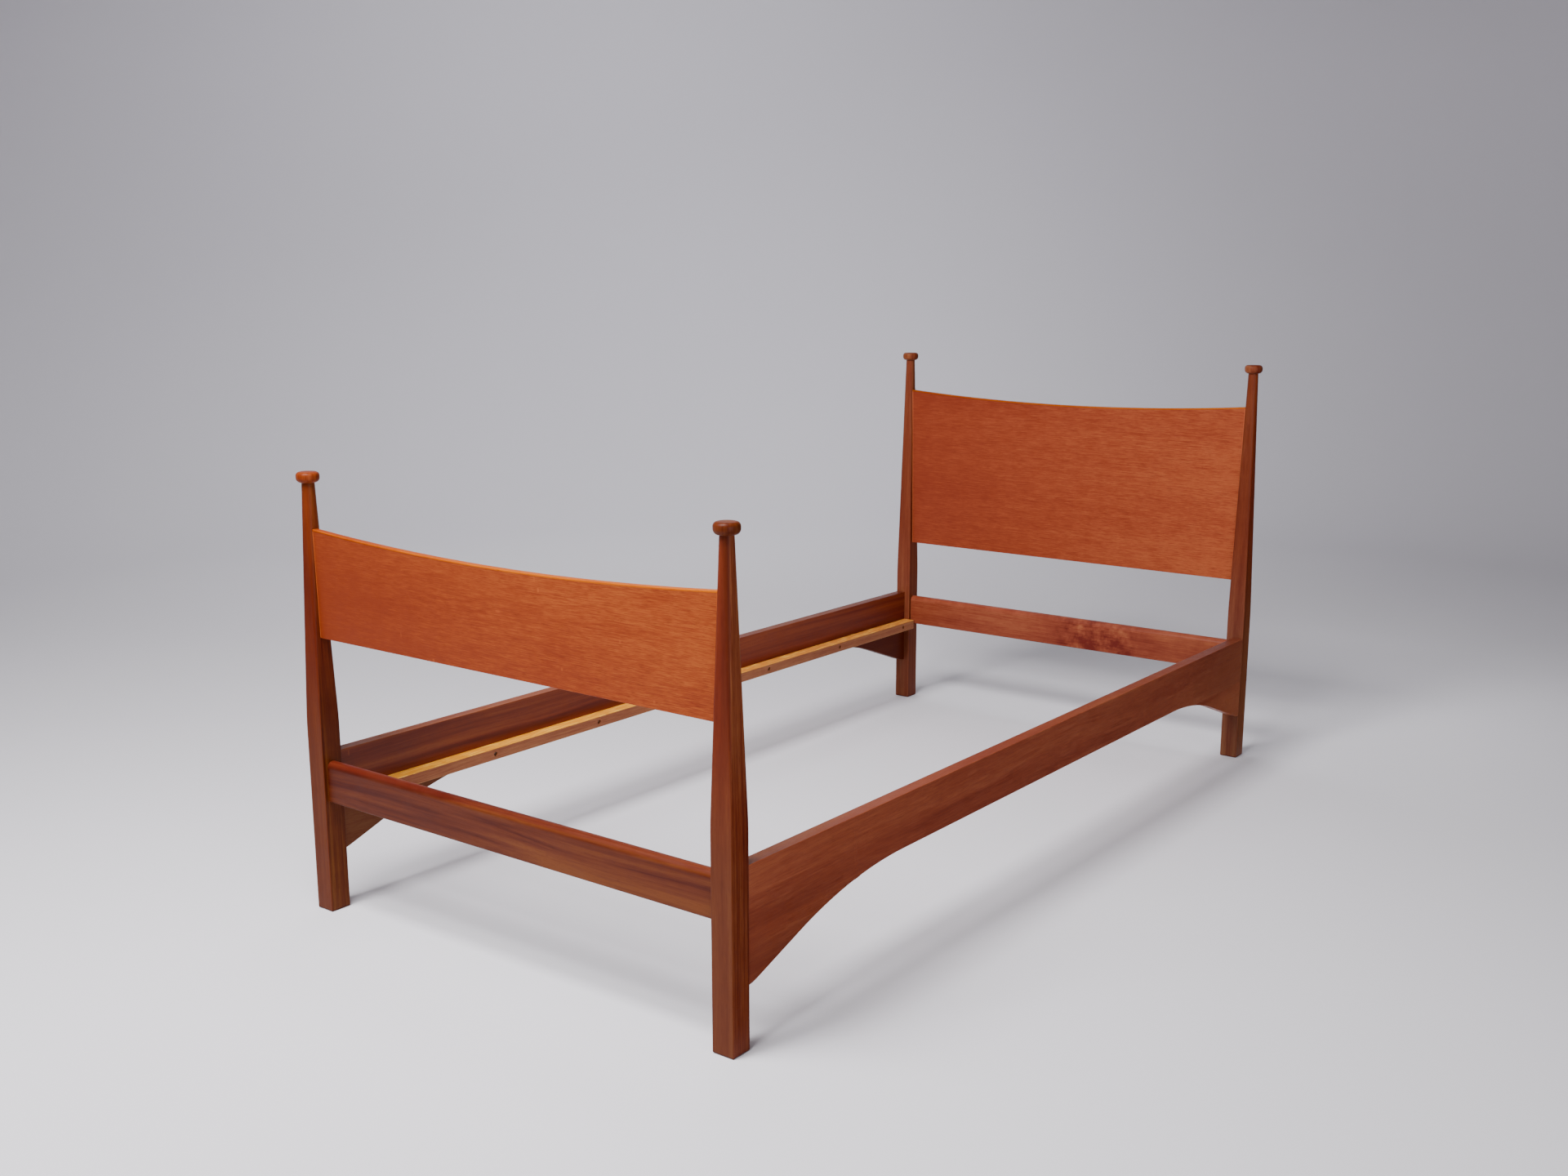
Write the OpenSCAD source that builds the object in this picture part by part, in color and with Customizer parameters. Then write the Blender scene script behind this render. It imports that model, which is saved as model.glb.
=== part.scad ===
// Single bed frame in hardwood: four posts that taper to turned finials, a head panel and a
// foot panel with hollowed top edges, two cross rails with half-round tops, and two side rails
// with glued brackets, which carry slat ledgers and hook into the posts.
// Millimetres. The origin is on the floor under the middle of the frame. +Y points to the head,
// and +X to the right of somebody who stands at the foot.

/* [Overall] */
// Width over the posts
bed_w = 1000; // [900:5:1600]
// Length over the posts
bed_l = 1985; // [1800:5:2200]

/* [Posts] */
// Side of the square part of a post
post_w = 41; // [40:1:50]
// Height of the head posts under their finials
head_post_h = 932; // [900:1:1100]
// Height of the foot posts under their finials
foot_post_h = 797; // [750:1:850]
// Height of the knee, where the taper starts
knee_z = 365; // [320:1:420]
// Diameter of the round neck under a finial
neck_d = 22.5; // [20:0.5:28]
// Chamfer along the arrises of the square part
arris = 1.2; // [0.4:0.2:2.4]
// Chamfer round the bottom of a post
foot_chamfer = 3; // [1:0.5:5]

/* [Finials] */
// Diameter of a finial
finial_d = 41; // [34:0.5:48]
// Height of a finial
finial_h = 19.5; // [16:0.5:24]
// Diameter of the spigot that holds a finial in its post
spigot_d = 12; // [8:0.5:14]
// Length of that spigot
spigot_l = 25; // [15:1:40]

/* [Panels] */
// Thickness of the head panel and the foot panel
panel_t = 13; // [9:0.5:15]
// Hollow of the top edges, from the posts to the middle
panel_sag = 18; // [10:1:30]
// Drop from the top of the foot posts to the top corners of the foot panel
foot_panel_drop = 82.5; // [70:0.5:100]
// Height of the foot panel beside the posts
foot_panel_h = 196; // [150:1:210]
// Drop from the top of the head posts to the top corners of the head panel
head_panel_drop = 80; // [70:0.5:100]
// Height of the head panel beside the posts
head_panel_h = 414.5; // [340:0.5:430]
// Thickness of the lipping on a panel's top edge
lipping_t = 3; // [2:0.5:6]
// Depth of the panel housings, from the inner face of a square post
housing_l = 14.5; // [12:0.5:16]

/* [Cross rails] */
// Thickness of a cross rail, which is also the diameter of its round top
cross_t = 25; // [20:1:30]
// Height of a cross rail
cross_h = 76.5; // [64:0.5:90]
// Height of a cross rail's underside over the floor
cross_z = 211.5; // [200:0.5:230]
// Radius of the eased lower edges
cross_ease = 3; // [1:0.5:5]
// Thickness of the tenons
tenon_t = 10; // [8:0.5:12]
// Length of the tenons
tenon_l = 24; // [18:0.5:24]
// Shoulder under a tenon
tenon_shoulder = 10; // [6:1:16]

/* [Side rails] */
// Thickness of a side rail
side_t = 25; // [20:0.5:28]
// Height of the top of a side rail over the floor
side_top = 298.5; // [285:0.5:312]
// Height of a side rail in the middle
side_h = 97; // [92:1:110]
// Height of a side rail at the posts, with the bracket under it
bracket_h = 192; // [180:1:200]
// Wood that a sweep takes out of a side rail's board before it runs into a bracket
board_margin = 9.5; // [4:0.5:18]
// Step from a post's outer face back to a side rail's outer face
side_step = 0.8; // [0:0.1:3]
// Rise of the brackets, in degrees
bracket_angle = 20; // [16:1:26]
// Level stretch under a bracket before it rises
bracket_flat = 7.5; // [2:0.5:20]
// Radius of the corner where the rise starts
bracket_corner_r = 60; // [10:5:90]
// Radius of the sweep into the straight underside, foot end
foot_sweep_r = 850; // [400:10:1000]
// Radius of the sweep into the straight underside, head end
head_sweep_r = 660; // [400:10:1000]

/* [Slat ledgers] */
// Width of a ledger, across the bed
ledger_w = 31; // [22:1:40]
// Height of a ledger
ledger_h = 23.5; // [20:0.5:25]
// Depth of the ledgers' top faces under the top of the side rails
ledger_drop = 75.5; // [70:0.5:77]
// Number of screws in a ledger
ledger_screw_n = 7; // [4:1:11]
// Distance from the foot end of a ledger to its first screw
ledger_screw_foot = 62; // [50:1:120]
// Distance from the head end of a ledger to its last screw
ledger_screw_head = 51; // [50:1:120]
// Diameter of the counterbores over the screw heads
counterbore_d = 9.5; // [9:0.5:12]
// Depth of those counterbores
counterbore_l = 6; // [3:0.5:10]
// Diameter of a ledger screw's shank
ledger_screw_d = 4.5; // [3.5:0.5:4.5]
// Depth to which a ledger screw bites into the side rail
ledger_screw_bite = 16; // [10:1:17]

/* [Hook fittings] */
// Length of the steel plates in the rail ends and the posts
plate_l = 140; // [136:1:160]
// Width of the plates
plate_w = 16; // [14:0.5:17]
// Thickness of the plates
plate_t = 2; // [1.5:0.25:3]
// Distance between the two hooks of a plate
hook_pitch = 66; // [60:1:72]
// Height of a hook's neck
hook_neck_h = 14; // [10:0.5:15]
// Drop of a hook's nose behind the catch plate
hook_drop = 6; // [4:0.5:7]
// Thickness of a hook's nose, along the bed
hook_nose = 3.5; // [2:0.5:4]
// Thickness of a hook, across the bed
hook_t = 2.5; // [2:0.25:3.5]
// Diameter of the plate screws
plate_screw_d = 4; // [3:0.5:4.5]
// Length of the screws in the rail ends
rail_screw_l = 32; // [20:1:45]
// Length of the screws in the posts
post_screw_l = 15; // [12:1:16]
// Distance from the end of a plate to its outer screws
plate_screw_end = 9; // [7:0.5:10]

/* [Clearances] */
// Gap on each side of tenons, tongues, spigots and let-in plates
joint_fit = 0.2; // [0.1:0.05:0.4]
// Gap beyond the end of a tenon, tongue or spigot
end_fit = 1; // [0.5:0.5:2]
// Gap round a screw
screw_fit = 0.15; // [0.1:0.05:0.3]
// Gap on each side of a hook in its slot and behind its catch plate
hook_fit = 0.3; // [0.2:0.1:0.6]
// Depth of the plate screws' heads under the plates' faces
screw_sink = 0.2; // [0.1:0.1:0.5]

/* [Hidden] */

$fn = 64;
// Steps of the round neck, a multiple of the eight corners of a chamfered square
NECK_FN = 48;
LEFT = -1;
RIGHT = 1;
FOOT = -1;
HEAD = 1;
// Steps of a full circle for the shallow panel edges and the sweeps of the side rails
PANEL_ARC_FN = 1440;
SWEEP_FN = 720;
// Length by which a cut runs past the face that it opens
OVER = 1;
// Thickness of the slices that a tapered solid is stretched between
SLICE = 0.01;

post_colour = "#7c3a22";
panel_colour = "#b5602f";
lipping_colour = "#d08a48";
cross_colour = "#7a3426";
side_colour = "#84401f";
ledger_colour = "#c4924e";
steel_colour = "#8d8a82";

// Centre lines of the right-hand head post
post_x = (bed_w - post_w) / 2;
post_y = (bed_l - post_w) / 2;
// Faces of the posts that look inwards
inner_x = bed_w / 2 - post_w;
inner_y = bed_l / 2 - post_w;

// Panels: undersides, half length with both tongues, and the radius of the top edge
foot_panel_z = foot_post_h - foot_panel_drop - foot_panel_h;
head_panel_z = head_post_h - head_panel_drop - head_panel_h;
panel_end = inner_x + housing_l - end_fit;
panel_r = (inner_x * inner_x + panel_sag * panel_sag) / (2 * panel_sag);

// Side rails
side_out = bed_w / 2 - side_step;
side_in = side_out - side_t;
side_mid_x = side_out - side_t / 2;
side_low = side_top - side_h;
bracket_low = side_top - bracket_h;
// Height of the glued joint between a side rail and its brackets
bracket_joint = side_low - board_margin;

// Ledgers
ledger_in = side_in - ledger_w;
ledger_top = side_top - ledger_drop;
ledger_mid_z = ledger_top - ledger_h / 2;
ledger_screw_gap = (2 * inner_y - ledger_screw_foot - ledger_screw_head) / (ledger_screw_n - 1);
ledger_screw_l = ledger_w - counterbore_l + ledger_screw_bite;

// Hook fittings, with heights measured from the middle of a plate
plate_z = side_top - bracket_h / 2;
hook_lift = hook_neck_h + hook_drop + OVER;
hook_z = [-(hook_pitch + hook_neck_h) / 2 - hook_drop / 2, (hook_pitch - hook_neck_h) / 2 - hook_drop / 2];
hook_reach = plate_t + hook_fit + hook_nose;
plate_screw_z = [-plate_l / 2 + plate_screw_end, 0, plate_l / 2 - plate_screw_end];
// Proportions of a wood screw, as shares of its shank: head, slot and tip
head_share = 1.9;
slot_share = 0.25;
tip_share = 0.25;

// Puts a piece that is drawn for the right-hand head corner into another corner
module at_corner(side, end) {
    mirror([side == LEFT ? 1 : 0, 0, 0])
        mirror([0, end == FOOT ? 1 : 0, 0])
            children();
}

// Puts a piece that is drawn for the right-hand side on either side
module at_side(side) {
    at_corner(side, HEAD) children();
}

// Stands an outline that is drawn in X and Z across the bed, with its thickness about y
module across_bed(y, thickness) {
    translate([0, y + thickness / 2, 0])
        rotate([90, 0, 0])
            linear_extrude(thickness) children();
}

// Stands an outline that is drawn in Y and Z along X, from x0 on
module along_x(x0, length) {
    translate([x0, 0, 0])
        rotate([90, 0, 90])
            linear_extrude(length) children();
}

// Height of a panel's top edge over the middle of that edge, at a distance x from the middle
function hollow(x) = panel_r - sqrt(panel_r * panel_r - x * x);

// Square section of a post with its arrises chamfered
module post_section(inset = 0) {
    half = post_w / 2 - inset;
    cut = half - arris;
    polygon([[half, cut], [cut, half], [-cut, half], [-half, cut],
        [-half, -cut], [-cut, -half], [cut, -half], [half, -cut]]);
}

// Uncut post on its own centre line: chamfered foot, square shaft, taper from square to round
module post_blank(h) {
    hull() {
        linear_extrude(SLICE) post_section(foot_chamfer);
        translate([0, 0, foot_chamfer]) linear_extrude(SLICE) post_section();
    }
    translate([0, 0, foot_chamfer]) linear_extrude(knee_z - foot_chamfer) post_section();
    hull() {
        translate([0, 0, knee_z - SLICE]) linear_extrude(SLICE) post_section();
        translate([0, 0, h - SLICE]) cylinder(d = neck_d, h = SLICE, $fn = NECK_FN);
    }
}

// Post with its bore, mortise, panel housing and the recesses of its catch plate
module post(side, end, h, panel_z, panel_h) {
    housing_top = panel_z + panel_h - panel_sag + hollow(panel_end);
    color(post_colour)
    at_corner(side, end)
    difference() {
        translate([post_x, post_y, 0]) post_blank(h);
        // Bore of the finial's spigot
        translate([post_x, post_y, h - spigot_l - end_fit])
            cylinder(d = spigot_d + 2 * joint_fit, h = spigot_l + end_fit + OVER);
        // Mortise of the cross rail
        translate([inner_x - OVER, post_y - tenon_t / 2 - joint_fit, cross_z + tenon_shoulder - joint_fit])
            cube([OVER + tenon_l + end_fit, tenon_t + 2 * joint_fit,
                cross_h - cross_t / 2 - tenon_shoulder + 2 * joint_fit]);
        // Housing of the panel
        translate([inner_x - OVER, post_y - panel_t / 2 - joint_fit, panel_z - joint_fit])
            cube([OVER + housing_l, panel_t + 2 * joint_fit, housing_top - panel_z + 2 * joint_fit]);
        catch_recess();
    }
}

// Recess of a catch plate with the pockets behind its slots, which are wider than the slots by
// one more gap on each side, and the holes of its screws
module catch_recess() {
    plate_box(inner_y - OVER, OVER + plate_t, joint_fit);
    for (z = hook_z)
        translate([side_mid_x, inner_y, plate_z + z - hook_drop - OVER])
            translate([-hook_t / 2 - 2 * hook_fit, 0, 0])
                cube([hook_t + 4 * hook_fit, hook_reach + end_fit, hook_lift + hook_drop + 2 * OVER]);
    plate_screw_places()
        rotate([-90, 0, 0])
            cylinder(d = plate_screw_d + 2 * screw_fit, h = post_screw_l + end_fit);
}

// Box with the outline of a plate, from y over a length along the bed, enlarged by gap all round
module plate_box(y, length, gap = 0) {
    translate([side_mid_x - plate_w / 2 - gap, y, plate_z - plate_l / 2 - gap])
        cube([plate_w + 2 * gap, length, plate_l + 2 * gap]);
}

// Repeats a screw or its hole at the three places in a plate, on the joint face
module plate_screw_places() {
    for (z = plate_screw_z)
        translate([side_mid_x, inner_y, plate_z + z]) children();
}

// Slotted countersunk screw that points up, with the top of its head at z = 0
module wood_screw(d, l) {
    head_d = d * head_share;
    head_h = (head_d - d) / 2;
    slot = d * slot_share;
    difference() {
        union() {
            cylinder(d1 = head_d, d2 = d, h = head_h);
            cylinder(d = d, h = l - d);
            translate([0, 0, l - d]) cylinder(d1 = d, d2 = d * tip_share, h = d);
        }
        translate([-head_d, -slot / 2, -OVER]) cube([2 * head_d, slot, OVER + slot]);
    }
}

// Countersink and hole for such a screw, through a length l
module screw_hole(d, l) {
    head_d = d * head_share + 2 * screw_fit;
    translate([0, 0, -OVER]) cylinder(d = head_d, h = OVER + screw_sink);
    translate([0, 0, screw_sink])
        cylinder(d1 = head_d, d2 = d + 2 * screw_fit, h = d * (head_share - 1) / 2);
    cylinder(d = d + 2 * screw_fit, h = l);
}

// Half outline of a finial: an upright rim with a tight corner over it and a fuller one under it
module finial_outline() {
    r = finial_d / 2;
    top_r = 0.36 * finial_h;
    low_r = 0.46 * finial_h;
    square([r - low_r, finial_h]);
    translate([0, low_r]) square([r - top_r, finial_h - low_r]);
    translate([0, low_r]) square([r, finial_h - low_r - top_r]);
    intersection() {
        translate([r - low_r, low_r]) circle(r = low_r);
        square([r, low_r]);
    }
    intersection() {
        translate([r - top_r, finial_h - top_r]) circle(r = top_r);
        translate([0, finial_h - top_r]) square([r, top_r]);
    }
}

// Turned finial and its spigot
module finial(side, end, h) {
    color(post_colour)
    at_corner(side, end)
    translate([post_x, post_y, h]) {
        rotate_extrude() finial_outline();
        translate([0, 0, -spigot_l]) cylinder(d = spigot_d, h = spigot_l + OVER);
    }
}

// Outline of a panel, housed in the posts at both ends, whose hollowed top lies drop under the
// finished edge
module panel_outline(z, h, drop) {
    difference() {
        translate([-panel_end, z]) square([2 * panel_end, h + lipping_t]);
        translate([0, z + h - panel_sag - drop + panel_r]) circle(r = panel_r, $fn = PANEL_ARC_FN);
    }
}

// Veneered board under the lipping
module panel(end, z, h) {
    color(panel_colour)
    across_bed(end * post_y, panel_t)
        panel_outline(z, h, lipping_t);
}

// Lipping that follows the hollow
module panel_lipping(end, z, h) {
    color(lipping_colour)
    across_bed(end * post_y, panel_t)
        intersection() {
            panel_outline(z, h, 0);
            translate([0, z + h - panel_sag - lipping_t + panel_r]) circle(r = panel_r, $fn = PANEL_ARC_FN);
        }
}

// Section of a cross rail on its own underside: half-round top and eased lower edges
module cross_section() {
    half = cross_t / 2;
    translate([-half, cross_ease]) square([cross_t, cross_h - half - cross_ease]);
    translate([cross_ease - half, 0]) square([cross_t - 2 * cross_ease, cross_h - half]);
    for (s = [-1, 1])
        translate([s * (half - cross_ease), cross_ease]) circle(cross_ease);
    translate([0, cross_h - half]) circle(half);
}

// Cross rail with a tenon at each end
module cross_rail(end) {
    color(cross_colour)
    translate([0, end * post_y, cross_z]) {
        along_x(-inner_x, 2 * inner_x) cross_section();
        translate([-inner_x - tenon_l, -tenon_t / 2, tenon_shoulder])
            cube([2 * (inner_x + tenon_l), tenon_t, cross_h - cross_t / 2 - tenon_shoulder]);
    }
}

// Space under one end of a side rail, in Y and Z: the rise of the bracket, its sweep into the
// straight underside, and the soft corner where the rise starts
module bracket_cut(sweep_r) {
    toe = inner_y - bracket_flat;
    rise = bracket_h - side_h;
    run = rise / tan(bracket_angle);
    sweep_l = sweep_r * tan(bracket_angle / 2);
    sweep_y = toe - run - sweep_l;
    corner_l = bracket_corner_r * tan(bracket_angle / 2);
    along = [cos(bracket_angle), -sin(bracket_angle)];
    polygon([[0, side_low], [sweep_y, side_low], [toe - run, side_low] + sweep_l * along,
        [toe, bracket_low], [toe, 0], [0, 0]]);
    intersection() {
        translate([sweep_y, side_low - sweep_r]) circle(sweep_r, $fn = SWEEP_FN);
        translate([sweep_y - OVER, 0]) square([toe - sweep_y, side_low]);
    }
    difference() {
        polygon([[toe, bracket_low] - corner_l * along, [toe + corner_l, bracket_low], [toe, bracket_low - OVER]]);
        translate([toe + corner_l, bracket_low + bracket_corner_r]) circle(bracket_corner_r, $fn = SWEEP_FN);
    }
}

// Outline of a side rail with both its brackets, in Y and Z
module side_outline() {
    difference() {
        translate([-inner_y, bracket_low]) square([2 * inner_y, bracket_h]);
        bracket_cut(head_sweep_r);
        mirror([1, 0]) bracket_cut(foot_sweep_r);
    }
}

// Recess of a hook plate and the holes of its screws
module hook_recess() {
    plate_box(inner_y - plate_t, plate_t + OVER, joint_fit);
    plate_screw_places()
        rotate([90, 0, 0])
            cylinder(d = plate_screw_d + 2 * screw_fit, h = rail_screw_l + end_fit);
}

// Board of a side rail, above its brackets, with the holes of the ledger screws
module side_rail(side) {
    color(side_colour)
    at_side(side)
    difference() {
        along_x(side_in, side_t)
            intersection() {
                side_outline();
                translate([-inner_y, bracket_joint]) square([2 * inner_y, side_top - bracket_joint]);
            }
        for (end = [FOOT, HEAD])
            at_corner(RIGHT, end) hook_recess();
        ledger_screw_places()
            cylinder(d = ledger_screw_d + 2 * screw_fit, h = ledger_screw_l + end_fit);
    }
}

// Block that is glued under one end of a side rail
module bracket(side, end) {
    color(side_colour)
    at_side(side)
    difference() {
        along_x(side_in, side_t)
            intersection() {
                side_outline();
                translate([end == FOOT ? -inner_y : 0, bracket_low])
                    square([inner_y, bracket_joint - bracket_low]);
            }
        at_corner(RIGHT, end) hook_recess();
    }
}

// Repeats a screw or its hole along a ledger, at the bottom of the counterbores, pointing out
module ledger_screw_places() {
    for (i = [0 : ledger_screw_n - 1])
        translate([ledger_in + counterbore_l, ledger_screw_foot - inner_y + i * ledger_screw_gap, ledger_mid_z])
            rotate([0, 90, 0])
                children();
}

// Ledger with its counterbored screw holes
module slat_ledger(side) {
    color(ledger_colour)
    at_side(side)
    difference() {
        translate([ledger_in, -inner_y, ledger_top - ledger_h]) cube([ledger_w, 2 * inner_y, ledger_h]);
        ledger_screw_places() {
            screw_hole(ledger_screw_d, ledger_w);
            translate([0, 0, -counterbore_l - OVER]) cylinder(d = counterbore_d, h = counterbore_l + OVER);
        }
    }
}

module ledger_screws(side) {
    color(steel_colour)
    at_side(side)
    ledger_screw_places()
        translate([0, 0, screw_sink]) wood_screw(ledger_screw_d, ledger_screw_l);
}

// Outline of one hook in Y and Z, from the joint face: a neck through the slot and a nose behind
module hook_outline() {
    behind = plate_t + hook_fit;
    polygon([[-OVER, 0], [-OVER, hook_neck_h], [hook_reach, hook_neck_h],
        [hook_reach, -hook_drop], [behind, -hook_drop], [behind, 0]]);
}

// Plate in the end of a side rail, with two hooks and three countersunk holes
module hook_plate(side, end) {
    color(steel_colour)
    at_corner(side, end)
    difference() {
        union() {
            plate_box(inner_y - plate_t, plate_t);
            for (z = hook_z)
                translate([0, inner_y, plate_z + z])
                    along_x(side_mid_x - hook_t / 2, hook_t) hook_outline();
        }
        plate_screw_places() rotate([90, 0, 0]) screw_hole(plate_screw_d, plate_t + OVER);
    }
}

// Plate in a post, with two slots that the hooks drop into and three countersunk holes
module catch_plate(side, end) {
    color(steel_colour)
    at_corner(side, end)
    difference() {
        plate_box(inner_y, plate_t);
        for (z = hook_z)
            translate([side_mid_x - hook_t / 2 - hook_fit, inner_y - OVER, plate_z + z])
                cube([hook_t + 2 * hook_fit, plate_t + 2 * OVER, hook_lift]);
        plate_screw_places() rotate([-90, 0, 0]) screw_hole(plate_screw_d, plate_t + OVER);
    }
}

// Screws of one kind of plate in all four corners, turned by angle about X
module plate_screws(angle, l) {
    color(steel_colour)
    for (side = [LEFT, RIGHT], end = [FOOT, HEAD])
        at_corner(side, end)
            plate_screw_places()
                rotate([angle, 0, 0])
                    translate([0, 0, screw_sink]) wood_screw(plate_screw_d, l - screw_sink);
}

post(LEFT, FOOT, foot_post_h, foot_panel_z, foot_panel_h);  // foot_left_post
post(RIGHT, FOOT, foot_post_h, foot_panel_z, foot_panel_h);  // foot_right_post
post(LEFT, HEAD, head_post_h, head_panel_z, head_panel_h);  // head_left_post
post(RIGHT, HEAD, head_post_h, head_panel_z, head_panel_h);  // head_right_post
finial(LEFT, FOOT, foot_post_h);  // foot_left_finial
finial(RIGHT, FOOT, foot_post_h);  // foot_right_finial
finial(LEFT, HEAD, head_post_h);  // head_left_finial
finial(RIGHT, HEAD, head_post_h);  // head_right_finial
panel(FOOT, foot_panel_z, foot_panel_h);  // foot_panel
panel(HEAD, head_panel_z, head_panel_h);  // head_panel
panel_lipping(FOOT, foot_panel_z, foot_panel_h);  // foot_panel_lipping
panel_lipping(HEAD, head_panel_z, head_panel_h);  // head_panel_lipping
cross_rail(FOOT);  // foot_cross_rail
cross_rail(HEAD);  // head_cross_rail
side_rail(LEFT);  // left_side_rail
side_rail(RIGHT);  // right_side_rail
bracket(LEFT, FOOT);  // foot_left_bracket
bracket(RIGHT, FOOT);  // foot_right_bracket
bracket(LEFT, HEAD);  // head_left_bracket
bracket(RIGHT, HEAD);  // head_right_bracket
slat_ledger(LEFT);  // left_slat_ledger
slat_ledger(RIGHT);  // right_slat_ledger
ledger_screws(LEFT);  // left_ledger_screws
ledger_screws(RIGHT);  // right_ledger_screws
hook_plate(LEFT, FOOT);  // foot_left_hook_plate
hook_plate(RIGHT, FOOT);  // foot_right_hook_plate
hook_plate(LEFT, HEAD);  // head_left_hook_plate
hook_plate(RIGHT, HEAD);  // head_right_hook_plate
catch_plate(LEFT, FOOT);  // foot_left_catch_plate
catch_plate(RIGHT, FOOT);  // foot_right_catch_plate
catch_plate(LEFT, HEAD);  // head_left_catch_plate
catch_plate(RIGHT, HEAD);  // head_right_catch_plate
plate_screws(90, rail_screw_l);  // hook_plate_screws
plate_screws(-90, post_screw_l);  // catch_plate_screws
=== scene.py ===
import math

import bmesh
import bpy
from mathutils import Matrix, Vector


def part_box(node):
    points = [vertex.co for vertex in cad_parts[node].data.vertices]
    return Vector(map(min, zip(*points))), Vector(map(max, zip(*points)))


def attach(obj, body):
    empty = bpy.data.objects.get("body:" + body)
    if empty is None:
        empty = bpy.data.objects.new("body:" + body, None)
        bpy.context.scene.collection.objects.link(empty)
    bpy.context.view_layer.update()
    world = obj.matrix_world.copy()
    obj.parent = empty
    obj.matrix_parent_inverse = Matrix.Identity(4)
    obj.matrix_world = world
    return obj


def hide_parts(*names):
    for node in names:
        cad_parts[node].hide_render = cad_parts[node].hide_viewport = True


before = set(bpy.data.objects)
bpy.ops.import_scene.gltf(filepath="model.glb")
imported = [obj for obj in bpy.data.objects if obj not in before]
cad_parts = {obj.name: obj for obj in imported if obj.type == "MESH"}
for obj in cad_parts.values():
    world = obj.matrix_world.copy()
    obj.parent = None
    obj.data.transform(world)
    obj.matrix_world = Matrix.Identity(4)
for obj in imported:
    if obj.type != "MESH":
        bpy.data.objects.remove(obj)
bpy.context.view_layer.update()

X, Y, Z = range(3)
LEFT, RIGHT = -1, 1
FOOT, HEAD = -1, 1
SIDES = (("left", LEFT), ("right", RIGHT))
ENDS = (("foot", FOOT), ("head", HEAD))


# Sizes in metres, read from the solids' boxes where these show them

def span(node, axis):
    """Lowest and highest place of a solid along an axis, to the nearest micrometre."""
    return [round(corner[axis], 6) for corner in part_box(node)]


# Gap round joints, beyond the ends of tenons, and round screws
FIT = 0.0002
END_FIT = 0.001
SCREW_FIT = 0.00015
# Length by which a cut runs past the face that it opens
OVER = 0.001
# Reach within which an edge or a face counts as lying at a height
NEAR = 0.001

# Posts, drawn from the right-hand head post
INNER_X, OUTER_X = span("head_right_post", X)
INNER_Y, OUTER_Y = span("head_right_post", Y)
POST_W = OUTER_X - INNER_X
POST_X = (INNER_X + OUTER_X) / 2
POST_Y = (INNER_Y + OUTER_Y) / 2
POST_H = {FOOT: span("foot_right_post", Z)[1], HEAD: span("head_right_post", Z)[1]}
KNEE_Z = 0.365
KNEE_SOFT = 0.016
NECK_R = 0.01125
ARRIS_R = 0.0014
TOE_R = 0.003

# Finials
FINIAL_LEFT, FINIAL_RIGHT = span("head_right_finial", X)
FINIAL_LOW, FINIAL_TOP = span("head_right_finial", Z)
FINIAL_R = (FINIAL_RIGHT - FINIAL_LEFT) / 2
FINIAL_H = FINIAL_TOP - POST_H[HEAD]
FINIAL_TOP_R = 0.36 * FINIAL_H
FINIAL_LOW_R = 0.46 * FINIAL_H
SPIGOT_R = 0.006
SPIGOT_L = POST_H[HEAD] - FINIAL_LOW
SPIGOT_CHAMFER = 0.001

# Panels and their lippings
PANEL_INNER_Y, PANEL_OUTER_Y = span("head_panel", Y)
PANEL_T = PANEL_OUTER_Y - PANEL_INNER_Y
PANEL_LOW = {FOOT: span("foot_panel", Z)[0], HEAD: span("head_panel", Z)[0]}
PANEL_END = span("head_panel", X)[1]
PANEL_DROP = {FOOT: 0.0825, HEAD: 0.080}
PANEL_SAG = 0.018
PANEL_R = (INNER_X ** 2 + PANEL_SAG ** 2) / (2 * PANEL_SAG)
PANEL_EASE = 0.0004
LIPPING_T = 0.003
LIPPING_EASE = 0.0012

# Cross rails, worn down to a little below their crests
CROSS_INNER_Y, CROSS_OUTER_Y = span("head_cross_rail", Y)
CROSS_T = CROSS_OUTER_Y - CROSS_INNER_Y
CROSS_Z = span("head_cross_rail", Z)[0]
CROSS_TOP = CROSS_Z + 0.0765
CROSS_EASE = 0.003
CROSS_TOP_EASE = CROSS_T / 2 - 0.00001
CROSS_END_EASE = 0.0022
CROSS_CREST = 0.0045
TENON_END = span("head_cross_rail", X)[1]
TENON_T = 0.010
TENON_LOW = CROSS_Z + 0.010
TENON_HIGH = CROSS_TOP - CROSS_T / 2

# Side rails and brackets
SIDE_IN, SIDE_OUT = span("right_side_rail", X)
SIDE_MID = (SIDE_IN + SIDE_OUT) / 2
BRACKET_JOINT, SIDE_TOP = span("right_side_rail", Z)
SIDE_LOW = SIDE_TOP - 0.097
SIDE_EASE = 0.001
SIDE_END_EASE = 0.0005
BRACKET_LOW = SIDE_TOP - 0.192
BRACKET_TOE = INNER_Y - 0.0075
BRACKET_RISE = math.radians(20)
BRACKET_CORNER_R = 0.060
BRACKET_CORNER_L = BRACKET_CORNER_R * math.tan(BRACKET_RISE / 2)
BRACKET_EASE = 0.0013
BRACKET_SHARP = 0.0012
SWEEP_R = {FOOT: 0.850, HEAD: 0.660}

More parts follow.
